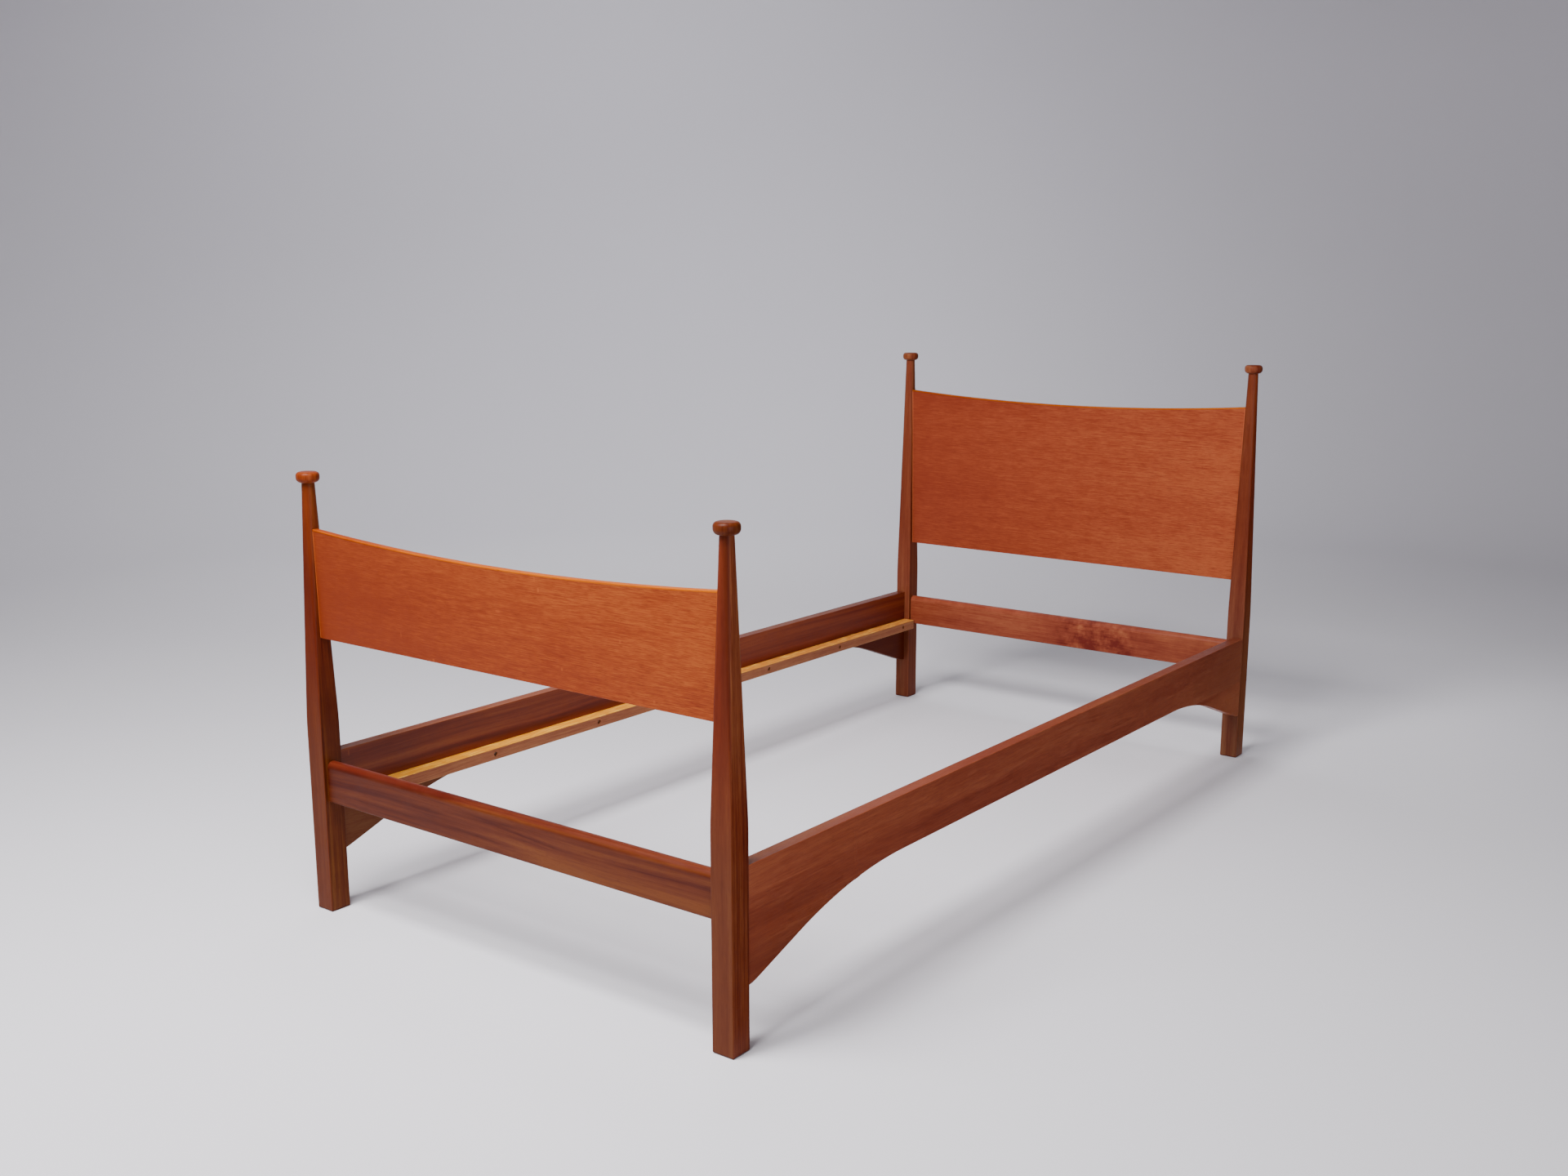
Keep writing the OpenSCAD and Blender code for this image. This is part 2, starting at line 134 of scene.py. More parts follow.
# Ledgers and their screws
LEDGER_IN = span("right_slat_ledger", X)[0]
LEDGER_LOW, LEDGER_TOP = span("right_slat_ledger", Z)
LEDGER_EASE = 0.001
LEDGER_BARE = 0.0006
SCREW_N = 7
SCREW_START = 0.062 - INNER_Y
SCREW_STOP = INNER_Y - 0.051
SCREW_STEP = (SCREW_STOP - SCREW_START) / (SCREW_N - 1)
SCREW_Y = [SCREW_START + i * SCREW_STEP for i in range(SCREW_N)]
SCREW_Z = (LEDGER_LOW + LEDGER_TOP) / 2
SCREW_R = 0.00225
SCREW_HEAD_R = 1.9 * SCREW_R
SCREW_BITE = 0.016
COUNTERBORE_R = 0.00475
COUNTERBORE_L = 0.006
SEAT_X = LEDGER_IN + COUNTERBORE_L
SCREW_L = SIDE_IN + SCREW_BITE - SEAT_X
SCREW_RIM = 0.0002
SLOT_W = 0.0012
SLOT_DEPTH = 0.0012
SINK_R = 0.0045
SINK_L = 0.0023
# Turn of the first screw's slot, and from one screw to the next, in radians
FIRST_TURN = 0.6
NEXT_TURN = 1.1

# Hook plates in the rail ends and catch plates in the posts
PLATE_IN, PLATE_OUT = span("head_right_catch_plate", X)
PLATE_LOW, PLATE_HIGH = span("head_right_catch_plate", Z)
PLATE_Z = (PLATE_LOW + PLATE_HIGH) / 2
PLATE_T = 0.002
PLATE_SCREW_R = 0.002 + SCREW_FIT
PLATE_SCREW_END = 0.009
PLATE_SCREW_Z = (PLATE_LOW + PLATE_SCREW_END, PLATE_Z, PLATE_HIGH - PLATE_SCREW_END)
POST_SCREW_L = 0.015
RAIL_SCREW_L = 0.032
HOOK_PITCH = 0.066
HOOK_NECK_H = 0.014
HOOK_DROP = 0.006
HOOK_Z = [PLATE_Z + (way * HOOK_PITCH - HOOK_NECK_H - HOOK_DROP) / 2 for way in (-1, 1)]
POCKET_W = 0.0037
POCKET_L = 0.0068


# Shapes

# Angle in degrees above which an edge shows as sharp
SHARP = 35


def solid(name, bm, sharp=SHARP):
    """Turns a finished bmesh into an object with smooth faces and sharp corners."""
    bmesh.ops.remove_doubles(bm, verts=bm.verts[:], dist=2e-6)
    bmesh.ops.dissolve_degenerate(bm, edges=bm.edges[:], dist=1e-6)
    bmesh.ops.recalc_face_normals(bm, faces=bm.faces[:])
    for face in bm.faces:
        face.smooth = True
    mesh = bpy.data.meshes.new(name)
    bm.to_mesh(mesh)
    bm.free()
    mesh.set_sharp_from_angle(angle=math.radians(sharp))
    piece = bpy.data.objects.new(name, mesh)
    bpy.context.scene.collection.objects.link(piece)
    return piece


def block(low, high):
    """Sawn block between two corners."""
    bm = bmesh.new()
    low, high = Vector(low), Vector(high)
    bmesh.ops.create_cube(bm, size=1)
    bmesh.ops.scale(bm, vec=high - low, verts=bm.verts[:])
    bmesh.ops.translate(bm, vec=(low + high) / 2, verts=bm.verts[:])
    return bm


def peg(start, axis, radius, length, steps=32, end_radius=None):
    """Round peg from start along an axis, or a cone where the radius at its end differs."""
    bm = bmesh.new()
    turn = (Matrix.Rotation(math.pi / 2, 4, "Y"), Matrix.Rotation(-math.pi / 2, 4, "X"),
            Matrix.Identity(4))[axis]
    place = Matrix.Translation(start) @ turn @ Matrix.Translation((0, 0, length / 2))
    bmesh.ops.create_cone(bm, cap_ends=True, segments=steps, radius1=radius,
                          radius2=end_radius or radius, depth=length, matrix=place)
    return bm


def spun(profile, axis, steps):
    """Turned solid from a profile of radius and place along the X or Z axis."""
    bm = bmesh.new()
    way = ((1, 0, 0), (0, 1, 0), (0, 0, 1))[axis]
    verts = [bm.verts.new((h, 0, r) if axis == X else (r, 0, h)) for r, h in profile]
    edges = [bm.edges.new(pair) for pair in zip(verts, verts[1:])]
    bmesh.ops.spin(bm, geom=verts + edges, cent=(0, 0, 0), axis=way, angle=2 * math.pi,
                   steps=steps, use_merge=True)
    bmesh.ops.remove_doubles(bm, verts=bm.verts[:], dist=1e-6)
    return bm


def runs_along(edge, axis):
    """True if an edge runs more along an axis than across it."""
    way = edge.verts[1].co - edge.verts[0].co
    return abs(way[axis]) > 0.6 * way.length


def on_arris(edge, axis):
    """True on a long arris, where a face across the axis meets one along it."""
    if len(edge.link_faces) != 2:
        return False
    a, b = (abs(face.normal[axis]) for face in edge.link_faces)
    return max(a, b) > 0.9 and min(a, b) < 0.5


def lowest(edge):
    """Height of an edge's lower end."""
    return min(v.co.z for v in edge.verts)


def highest(edge):
    """Height of an edge's upper end."""
    return max(v.co.z for v in edge.verts)


def ease(bm, pick, width, segments=3):
    """Rounds the edges that pick chooses, and marks the narrow faces as worn arris."""
    worn = bm.faces.layers.float.get("arris") or bm.faces.layers.float.new("arris")
    bm.normal_update()
    edges = [e for e in bm.edges if e.is_manifold and pick(e)]
    made = bmesh.ops.bevel(bm, geom=edges, offset=width, offset_type="OFFSET", affect="EDGES",
                           segments=segments, profile=0.5, material=-1, clamp_overlap=True)
    for face in made["faces"]:
        face[worn] = 1.0


def ease_ends(bm, axis, end, width, segments):
    """Rounds the outline of the end faces that meet a post."""
    def on_outline(edge):
        at_end = all(abs(abs(v.co[axis]) - end) < 1e-5 for v in edge.verts)
        return at_end and any(abs(f.normal[axis]) < 0.5 for f in edge.link_faces)

    ease(bm, on_outline, width, segments)


def carve(piece, tools, how="DIFFERENCE"):
    """Cuts the tools out of a piece, or joins them on to it."""
    cutters = [solid("cutter", bm) for bm in tools]
    for cutter in cutters:
        cut = piece.modifiers.new("cut", "BOOLEAN")
        cut.object = cutter
        cut.operation = how
        cut.solver = "EXACT"
    bpy.context.view_layer.update()
    shaped = bpy.data.meshes.new_from_object(
        piece.evaluated_get(bpy.context.evaluated_depsgraph_get()))
    shaped.name = piece.name
    piece.modifiers.clear()
    piece.data = shaped
    for cutter in cutters:
        bpy.data.objects.remove(cutter)
    shaped.set_sharp_from_angle(angle=math.radians(SHARP))
    return piece


def dress(piece, node, material):
    """Hangs a finished piece on the bed in place of its node."""
    piece.data.materials.clear()
    piece.data.materials.append(material)
    weight = piece.modifiers.new("even_shading", "WEIGHTED_NORMAL")
    weight.keep_sharp = True
    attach(piece, "root")
    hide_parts(node)


def stations(stops, step):
    """Places along a board: every stop, and even steps of at most step between them."""
    places = []
    for start, end in zip(stops, stops[1:]):
        count = max(1, math.ceil((end - start) / step))
        places += [start + (end - start) * i / count for i in range(count)]
    return places + [stops[-1]]


def strip(places, low, high, near, far, along):
    """Board on edge, with an underside and a top that follow two curves along X or Y."""
    bm = bmesh.new()
    count = len(places) - 1
    bmesh.ops.create_grid(bm, x_segments=count, y_segments=1, size=0.5)
    for vert in bm.verts:
        at = places[round((vert.co.x + 0.5) * count)]
        z = high(at) if vert.co.y > 0 else low(at)
        vert.co = (at, near, z) if along == X else (near, at, z)
    made = bmesh.ops.extrude_face_region(bm, geom=bm.faces[:])
    moved = [g for g in made["geom"] if isinstance(g, bmesh.types.BMVert)]
    across = (0, far - near, 0) if along == X else (far - near, 0, 0)
    bmesh.ops.translate(bm, verts=moved, vec=across)
    bmesh.ops.remove_doubles(bm, verts=bm.verts[:], dist=1e-6)
    bmesh.ops.recalc_face_normals(bm, faces=bm.faces[:])
    return bm


def at_corner(bm, side, end):
    """Mirrors what is drawn for the right head corner into its own corner."""
    bmesh.ops.scale(bm, vec=(side, end, 1), verts=bm.verts[:])
    bmesh.ops.recalc_face_normals(bm, faces=bm.faces[:])
    return bm


# Posts

def post_ring(ring, z, flat, radius):
    """Lays a ring of vertices on a square with rounded corners."""
    per = len(ring) // 4
    for i, vert in enumerate(ring):
        corner, step = divmod(i, per)
        angle = (corner + step / (per - 1)) * math.pi / 2 - math.pi
        middle = (corner + 0.5) * math.pi / 2 - math.pi
        vert.co = (math.copysign(flat, math.cos(middle)) + radius * math.cos(angle),
                   math.copysign(flat, math.sin(middle)) + radius * math.sin(angle), z)


def post_levels(height):
    """Height, half flat and corner radius of each ring, from the floor to the neck."""
    half_flat = POST_W / 2 - ARRIS_R
    rings = []
    for i in range(5):
        a = i * math.pi / 8
        inset = TOE_R * (1 - math.sin(a))
        rings.append((TOE_R * (1 - math.cos(a)), half_flat - inset, ARRIS_R))
    for z in (0.12, 0.24):
        rings.append((z, half_flat, ARRIS_R))
    soft, rise = KNEE_SOFT, height - KNEE_Z
    bend = [soft * s for s in (-1, -0.5, 0, 0.5, 1)]
    taper = [soft + (rise - soft) * i / 8 for i in range(1, 9)]
    for over in bend + taper:
        t = (over + soft) ** 2 / (4 * soft * rise) if over < soft else over / rise
        rings.append((KNEE_Z + over, half_flat * (1 - t), ARRIS_R + (NECK_R - ARRIS_R) * t))
    return rings


def wear_arrises(bm):
    """Marks the rounded corners of the square part and of the start of the taper as worn."""
    worn = bm.faces.layers.float.new("arris")
    for face in bm.faces:
        middle = face.calc_center_median()
        over = max(0, middle.z - KNEE_Z)
        if over < 0.12 and min(abs(middle.x), abs(middle.y)) > 0.017 - 0.02 * over:
            face[worn] = 1.0


def post(side, end):
    """Square post that tapers from the knee to a round neck, built up ring by ring."""
    bm = bmesh.new()
    bmesh.ops.create_circle(bm, segments=36, radius=POST_W / 2)
    ring = sorted(bm.verts, key=lambda v: math.atan2(v.co.y, v.co.x))
    first, *others = post_levels(POST_H[end])
    post_ring(ring, *first)
    for level in others:
        below = set(ring)
        edges = [e for e in bm.edges if below.issuperset(e.verts)]
        made = bmesh.ops.extrude_edge_only(bm, edges=edges)
        upper = [g for g in made["geom"] if isinstance(g, bmesh.types.BMVert)]
        upper.sort(key=lambda v: min(range(len(ring)), key=lambda i: (ring[i].co - v.co).length))
        ring = upper
        post_ring(ring, *level)
    wear_arrises(bm)
    bmesh.ops.holes_fill(bm, edges=[e for e in bm.edges if e.is_boundary], sides=0)
    bmesh.ops.translate(bm, vec=(side * POST_X, end * POST_Y, 0), verts=bm.verts[:])
    return bm


def plate_recess(y, length):
    """Recess with the outline of a plate, from y over a length along the bed."""
    return block((PLATE_IN - FIT, y, PLATE_LOW - FIT), (PLATE_OUT + FIT, y + length, PLATE_HIGH + FIT))


def post_joints(side, end):
    """Bore, mortise, panel housing and catch plate recess of one post."""
    bore_r = SPIGOT_R + FIT
    opened = INNER_X - OVER
    tools = [
        peg((POST_X, POST_Y, POST_H[end] - SPIGOT_L - END_FIT), Z, bore_r,
            SPIGOT_L + END_FIT + OVER),
        block((opened, POST_Y - TENON_T / 2 - FIT, TENON_LOW - FIT),
              (TENON_END + END_FIT, POST_Y + TENON_T / 2 + FIT, TENON_HIGH + FIT)),
        block((opened, POST_Y - PANEL_T / 2 - FIT, PANEL_LOW[end] - FIT),
              (PANEL_END + END_FIT, POST_Y + PANEL_T / 2 + FIT, panel_edge(end, PANEL_END) + FIT)),
        plate_recess(INNER_Y - OVER, OVER + PLATE_T)]
    start = INNER_Y + PLATE_T - OVER / 2
    for z in HOOK_Z:
        tools.append(block((SIDE_MID - POCKET_W / 2, start, z - HOOK_DROP - OVER),
                           (SIDE_MID + POCKET_W / 2, INNER_Y + POCKET_L,
                            z + HOOK_NECK_H + HOOK_DROP + 2 * OVER)))
    for z in PLATE_SCREW_Z:
        tools.append(peg((SIDE_MID, start, z), Y, PLATE_SCREW_R,
                         INNER_Y + POST_SCREW_L + END_FIT - start, 16))
    return [at_corner(bm, side, end) for bm in tools]


# Finials

def finial(side, end):
    """Turned bun with a spigot, spun from half its profile."""
    profile = [(0, FINIAL_H), (FINIAL_R * 0.3, FINIAL_H - 0.00004)]
    for radius, middle, first, last in ((FINIAL_TOP_R, FINIAL_H - FINIAL_TOP_R, 90, 0),
                                        (FINIAL_LOW_R, FINIAL_LOW_R, 0, -90)):
        for i in range(8):
            a = math.radians(first + (last - first) * i / 7)
            profile.append((FINIAL_R - radius + radius * math.cos(a),
                            middle + radius * math.sin(a)))
    profile += [(SPIGOT_R, 0), (SPIGOT_R, SPIGOT_CHAMFER - SPIGOT_L),
                (SPIGOT_R - SPIGOT_CHAMFER, -SPIGOT_L), (0, -SPIGOT_L)]
    bm = spun(profile, Z, 56)
    bmesh.ops.translate(bm, vec=(side * POST_X, end * POST_Y, POST_H[end]), verts=bm.verts[:])
    return bm


# Panels and lippings

PANEL_PLACES = stations([-PANEL_END, -INNER_X, 0, INNER_X, PANEL_END], 0.02)


def panel_edge(end, x):
    """Height of a panel's hollowed top edge."""
    dip = PANEL_R - math.sqrt(PANEL_R ** 2 - x * x)
    return POST_H[end] - PANEL_DROP[end] - PANEL_SAG + dip


def panel_strip(end, low, high):
    """Board of a panel's thickness and length, between two curves."""
    middle = end * POST_Y
    return strip(PANEL_PLACES, low, high, middle - PANEL_T / 2, middle + PANEL_T / 2, X)


def panel(end):
    """Veneered board up to the glue line of its lipping."""
    bm = panel_strip(end, lambda x: PANEL_LOW[end], lambda x: panel_edge(end, x) - LIPPING_T)
    ease(bm, lambda e: runs_along(e, X) and on_arris(e, Y), PANEL_EASE, 1)
    return bm


def lipping(end):
    """Strip on a panel's hollowed top edge, with both upper arrises rounded."""
    bm = panel_strip(end, lambda x: panel_edge(end, x) - LIPPING_T, lambda x: panel_edge(end, x))

    def on_top(edge):
        return all(v.co.z > panel_edge(end, v.co.x) - NEAR for v in edge.verts)

    ease(bm, lambda e: runs_along(e, X) and on_arris(e, Y) and on_top(e), LIPPING_EASE)
    return bm


# Cross rails

def cross_rail(end):
    """Rail with a half-round top, whose crest and lower arrises are worn."""
    y = end * POST_Y
    bm = block((-INNER_X, y - CROSS_T / 2, CROSS_Z), (INNER_X, y + CROSS_T / 2, CROSS_TOP))
    ease(bm, lambda e: runs_along(e, X) and highest(e) < CROSS_Z + NEAR, CROSS_EASE, 4)
    ease(bm, lambda e: runs_along(e, X) and lowest(e) > CROSS_TOP - NEAR, CROSS_TOP_EASE, 14)
    worn = bm.faces.layers.float.get("arris")
    for face in bm.faces:
        under = CROSS_TOP - face.calc_center_median().z
        face[worn] = 1.0 if under < CROSS_CREST or face[worn] and under > CROSS_T else 0.0
    bmesh.ops.remove_doubles(bm, verts=bm.verts[:], dist=3e-5)
    ease_ends(bm, X, INNER_X, CROSS_END_EASE, 3)
    return bm


def tenons(end):
    """Tenons of a cross rail, each a little way inside the rail."""
    near, far = end * POST_Y - TENON_T / 2, end * POST_Y + TENON_T / 2
    root = INNER_X - 2 * OVER
    return [block((-TENON_END, near, TENON_LOW), (-root, far, TENON_HIGH)),
            block((root, near, TENON_LOW), (TENON_END, far, TENON_HIGH))]


# Side rails and brackets

def sweep_start(end):
    """Distance from the middle of the bed at which the sweep into a bracket starts."""
    run = (SIDE_LOW - BRACKET_LOW) / math.tan(BRACKET_RISE)
    return BRACKET_TOE - run - SWEEP_R[end] * math.tan(BRACKET_RISE / 2)


def joint_start(end):
    """Distance from the middle at which the sweep runs into the bracket."""
    r = SWEEP_R[end]
    return sweep_start(end) + math.sqrt(r * r - (r - SIDE_LOW + BRACKET_JOINT) ** 2)


def underside(y):
    """Height of the arch under a side rail, at a place along the bed."""
    end = HEAD if y > 0 else FOOT
    y = abs(y)
    start, r = sweep_start(end), SWEEP_R[end]
    if y <= start:
        return SIDE_LOW
    if y <= start + r * math.sin(BRACKET_RISE):
        return SIDE_LOW - r + math.sqrt(r * r - (y - start) ** 2)
    if y <= BRACKET_TOE - BRACKET_CORNER_L * math.cos(BRACKET_RISE):
        return BRACKET_LOW + (BRACKET_TOE - y) * math.tan(BRACKET_RISE)
    level = BRACKET_TOE + BRACKET_CORNER_L
    if y <= level:
        r = BRACKET_CORNER_R
        return BRACKET_LOW + r - math.sqrt(r * r - (level - y) ** 2)
    return BRACKET_LOW


def side_rail(side):
    """Board with parallel edges, down to the glued joints with its brackets."""
    stops = [-INNER_Y, -joint_start(FOOT), -sweep_start(FOOT), sweep_start(HEAD),
             joint_start(HEAD), INNER_Y]
    bm = strip(stations(stops, 0.02), lambda y: max(underside(y), BRACKET_JOINT),
               lambda y: SIDE_TOP, side * SIDE_IN, side * SIDE_OUT, Y)

    def is_free(vert):
        return vert.co.z > SIDE_TOP - NEAR or -joint_start(FOOT) < vert.co.y < joint_start(HEAD)

    ease(bm, lambda e: runs_along(e, Y) and on_arris(e, X) and any(map(is_free, e.verts)), SIDE_EASE)
    ease_ends(bm, Y, INNER_Y, SIDE_END_EASE, 1)
    return bm


def bracket(side, end):
    """Block glued under one end of a side rail, which carries the sweep on to the post."""
    start = joint_start(end)
    turn = sweep_start(end) + SWEEP_R[end] * math.sin(BRACKET_RISE)
    stops = [start, start + 0.004, turn, BRACKET_TOE - BRACKET_CORNER_L, INNER_Y]
    places = [end * y for y in stations(stops, 0.012)]
    if end == FOOT:
        places.reverse()
    bm = strip(places, lambda y: min(underside(y), BRACKET_JOINT), lambda y: BRACKET_JOINT,
               side * SIDE_IN, side * SIDE_OUT, Y)
    below = BRACKET_JOINT - BRACKET_SHARP
    ease(bm, lambda e: runs_along(e, Y) and on_arris(e, X) and highest(e) < below, BRACKET_EASE)
    return bm


def hook_recess(side, end):
    """Recess of a hook plate and its screw holes, in the end of a rail."""
    tools = [plate_recess(INNER_Y - PLATE_T, PLATE_T + OVER)]
    for z in PLATE_SCREW_Z:
        tools.append(peg((SIDE_MID, INNER_Y - RAIL_SCREW_L - END_FIT, z), Y, PLATE_SCREW_R,
                         RAIL_SCREW_L, 16))
    return [at_corner(bm, side, end) for bm in tools]


# Ledgers and their screws

def ledger(side):
    """Square strip with rounded inner arrises and a bare top face."""
    near, far = sorted((side * LEDGER_IN, side * SIDE_IN))
    bm = block((near, -INNER_Y, LEDGER_LOW), (far, INNER_Y, LEDGER_TOP))

    def is_inner(edge):
        return all(abs(v.co.x) < SIDE_IN - NEAR for v in edge.verts)

    ease(bm, lambda e: runs_along(e, Y) and is_inner(e), LEDGER_EASE)
    bare = bm.faces.layers.float.new("bare")
    for face in bm.faces:
        face[bare] = 1.0 if face.calc_center_median().z > LEDGER_TOP - LEDGER_BARE else 0.0
    return bm


def ledger_holes(side):
    """Counterbores, countersinks and holes of a ledger's screws."""
    hole_r = SCREW_R + SCREW_FIT
    tools = []
    for y in SCREW_Y:
        tools += [peg((LEDGER_IN - OVER, y, SCREW_Z), X, COUNTERBORE_R, COUNTERBORE_L + OVER, 24),
                  peg((SEAT_X - FIT / 2, y, SCREW_Z), X, SINK_R, SINK_L, 24, hole_r),
                  peg((SEAT_X, y, SCREW_Z), X, hole_r, SIDE_IN + 2 * OVER - SEAT_X, 16)]
    return [at_corner(bm, side, HEAD) for bm in tools]


def rail_holes(side):
    """Holes in a side rail for the points of the ledger screws."""
    depth = SCREW_BITE + FIT + OVER
    tools = [peg((SIDE_IN - OVER, y, SCREW_Z), X, SCREW_R + FIT, depth, 16) for y in SCREW_Y]
    return [at_corner(bm, side, HEAD) for bm in tools]


def ledger_screws(side):
    """Slotted countersunk screws, one turned and slotted, the others copied from it."""
    profile = [(0, 0), (SCREW_HEAD_R - SCREW_RIM, 0), (SCREW_HEAD_R, SCREW_RIM),
               (SCREW_R, SCREW_HEAD_R - SCREW_R), (SCREW_R, SCREW_L - 2 * SCREW_R),
               (SCREW_R / 4, SCREW_L), (0, SCREW_L)]
    bm = spun(profile, X, 24)
    turn = Matrix.Rotation(FIRST_TURN, 3, "X")
    bmesh.ops.rotate(bm, cent=(0, 0, 0), matrix=turn, verts=bm.verts[:])
    slot = block((-OVER, -COUNTERBORE_L, -SLOT_W / 2), (SLOT_DEPTH, COUNTERBORE_L, SLOT_W / 2))
    screw = carve(solid("screw", bm), [slot])
    bm = bmesh.new()
    for i, y in enumerate(SCREW_Y):
        old = set(bm.verts)
        bm.from_mesh(screw.data)
        fresh = [v for v in bm.verts if v not in old]
        turn = Matrix.Rotation(i * NEXT_TURN, 3, "X")
        bmesh.ops.rotate(bm, cent=(0, 0, 0), matrix=turn, verts=fresh)
        bmesh.ops.translate(bm, vec=(SEAT_X + FIT, y, SCREW_Z), verts=fresh)
    bpy.data.objects.remove(screw)
    return at_corner(bm, side, HEAD)


# Helpers for node trees

def fill(tree, node, values):
    """Gives a node's inputs values, or links them to sockets."""
    for key, value in values.items():
        if isinstance(value, bpy.types.NodeSocket):
            tree.links.new(value, node.inputs[key])
        else:
            node.inputs[key].default_value = value
    return node


def add(tree, kind, values=None, **settings):
    """Adds a node, sets it up, and gives its inputs values or links."""
    node = tree.nodes.new(kind)
    for name, value in settings.items():
        setattr(node, name, value)
    return fill(tree, node, values or {})


def maths(tree, operation, a, b=0.0, c=0.0, clamp=False):
    """Sum, product or other result of up to three numbers."""
    node = add(tree, "ShaderNodeMath", {0: a, 1: b, 2: c}, operation=operation, use_clamp=clamp)
    return node.outputs[0]


def vector_maths(tree, operation, a, b):
    """Sum, product or other result of two vectors."""
    return add(tree, "ShaderNodeVectorMath", {0: a, 1: b}, operation=operation).outputs[0]


def distance(tree, vector):
    """Length of a vector."""
    return add(tree, "ShaderNodeVectorMath", {0: vector}, operation="LENGTH").outputs["Value"]


def combine(tree, x, y, z):
    """Vector made up of three numbers."""
    return add(tree, "ShaderNodeCombineXYZ", {X: x, Y: y, Z: z}).outputs[0]


def separate(tree, vector):
    """The three numbers of a vector, by axis."""
    return add(tree, "ShaderNodeSeparateXYZ", {0: vector}).outputs


def noise(tree, place, scale, detail=2.0, roughness=0.5):
    """Soft noise, as a number and as a colour."""
    return add(tree, "ShaderNodeTexNoise", {"Vector": place, "Scale": scale, "Detail": detail,
                                            "Roughness": roughness}).outputs


def attribute(tree, name):
    """Value of a mark that the shapes carry on their faces."""
    return add(tree, "ShaderNodeAttribute", attribute_name=name).outputs["Fac"]


def ramp(tree, value, low, high, to_low=0.0, to_high=1.0):
    """Smooth step of a value between two levels."""
    node = add(tree, "ShaderNodeMapRange", {0: value, 1: low, 2: high, 3: to_low, 4: to_high},
               interpolation_type="SMOOTHSTEP")
    return node.outputs[0]


def blend(tree, amount, a, b, how="MIX"):
    """Mixes colour b over colour a by an amount."""
    node = add(tree, "ShaderNodeMix", {0: amount, 6: a, 7: b}, data_type="RGBA", blend_type=how)
    return node.outputs[2]


def node_group(name, inputs, outputs):
    """Starts a node group, and returns its tree, what it is given and what it puts out."""
    tree = bpy.data.node_groups.new(name, "ShaderNodeTree")
    for label, value in inputs.items():
        kind = "Float" if isinstance(value, float) else "Vector" if len(value) == 3 else "Color"
        socket = tree.interface.new_socket(label, in_out="INPUT", socket_type="NodeSocket" + kind)
        socket.default_value = value
    for label, kind in outputs.items():
        tree.interface.new_socket(label, in_out="OUTPUT", socket_type="NodeSocket" + kind)
    return tree, tree.nodes.new("NodeGroupInput").outputs, tree.nodes.new("NodeGroupOutput").inputs


def place_group(tree, group, values):
    """Places a node group in a tree with its own values."""
    return add(tree, "ShaderNodeGroup", values, node_tree=group).outputs


def rgba(colour):
    """A colour as a node input takes it."""
    return (*colour, 1.0)


def tint(colour, red, green, blue):
    """A colour with its channels scaled, as a node input takes it."""
    return rgba((colour[0] * red, colour[1] * green, colour[2] * blue))


# Node groups that the woods share

NOWHERE = (0, 0, 0)


def build_fibre():
    """Noise drawn out along X: one run of fibres of a given length and width."""
    tree, given, out = node_group(
        "fibre", {"Vector": NOWHERE, "Length": 0.1, "Width": 0.002, "Detail": 2.0}, {"Value": "Float"})
    size = combine(tree, given["Length"], given["Width"], given["Width"])
    spot = vector_maths(tree, "DIVIDE", given["Vector"], size)
    tree.links.new(noise(tree, spot, 1.0, given["Detail"], 0.55)[0], out["Value"])
    return tree


def build_wander():
    """Bends straight grain a little, so that lines drift across a board."""
    tree, given, out = node_group(
        "wander", {"Vector": NOWHERE, "Amount": 0.01, "Length": 0.5}, {"Vector": "Vector"})
    size = combine(tree, given["Length"], 0.12, 0.12)
    spot = vector_maths(tree, "DIVIDE", given["Vector"], size)
    centred = vector_maths(tree, "SUBTRACT", noise(tree, spot, 1.0, 1.0)[1], (0.5, 0.5, 0.5))
    reach = combine(tree, 0.0, given["Amount"], given["Amount"])
    shift = vector_maths(tree, "MULTIPLY", centred, reach)
    tree.links.new(vector_maths(tree, "ADD", given["Vector"], shift), out["Vector"])
    return tree


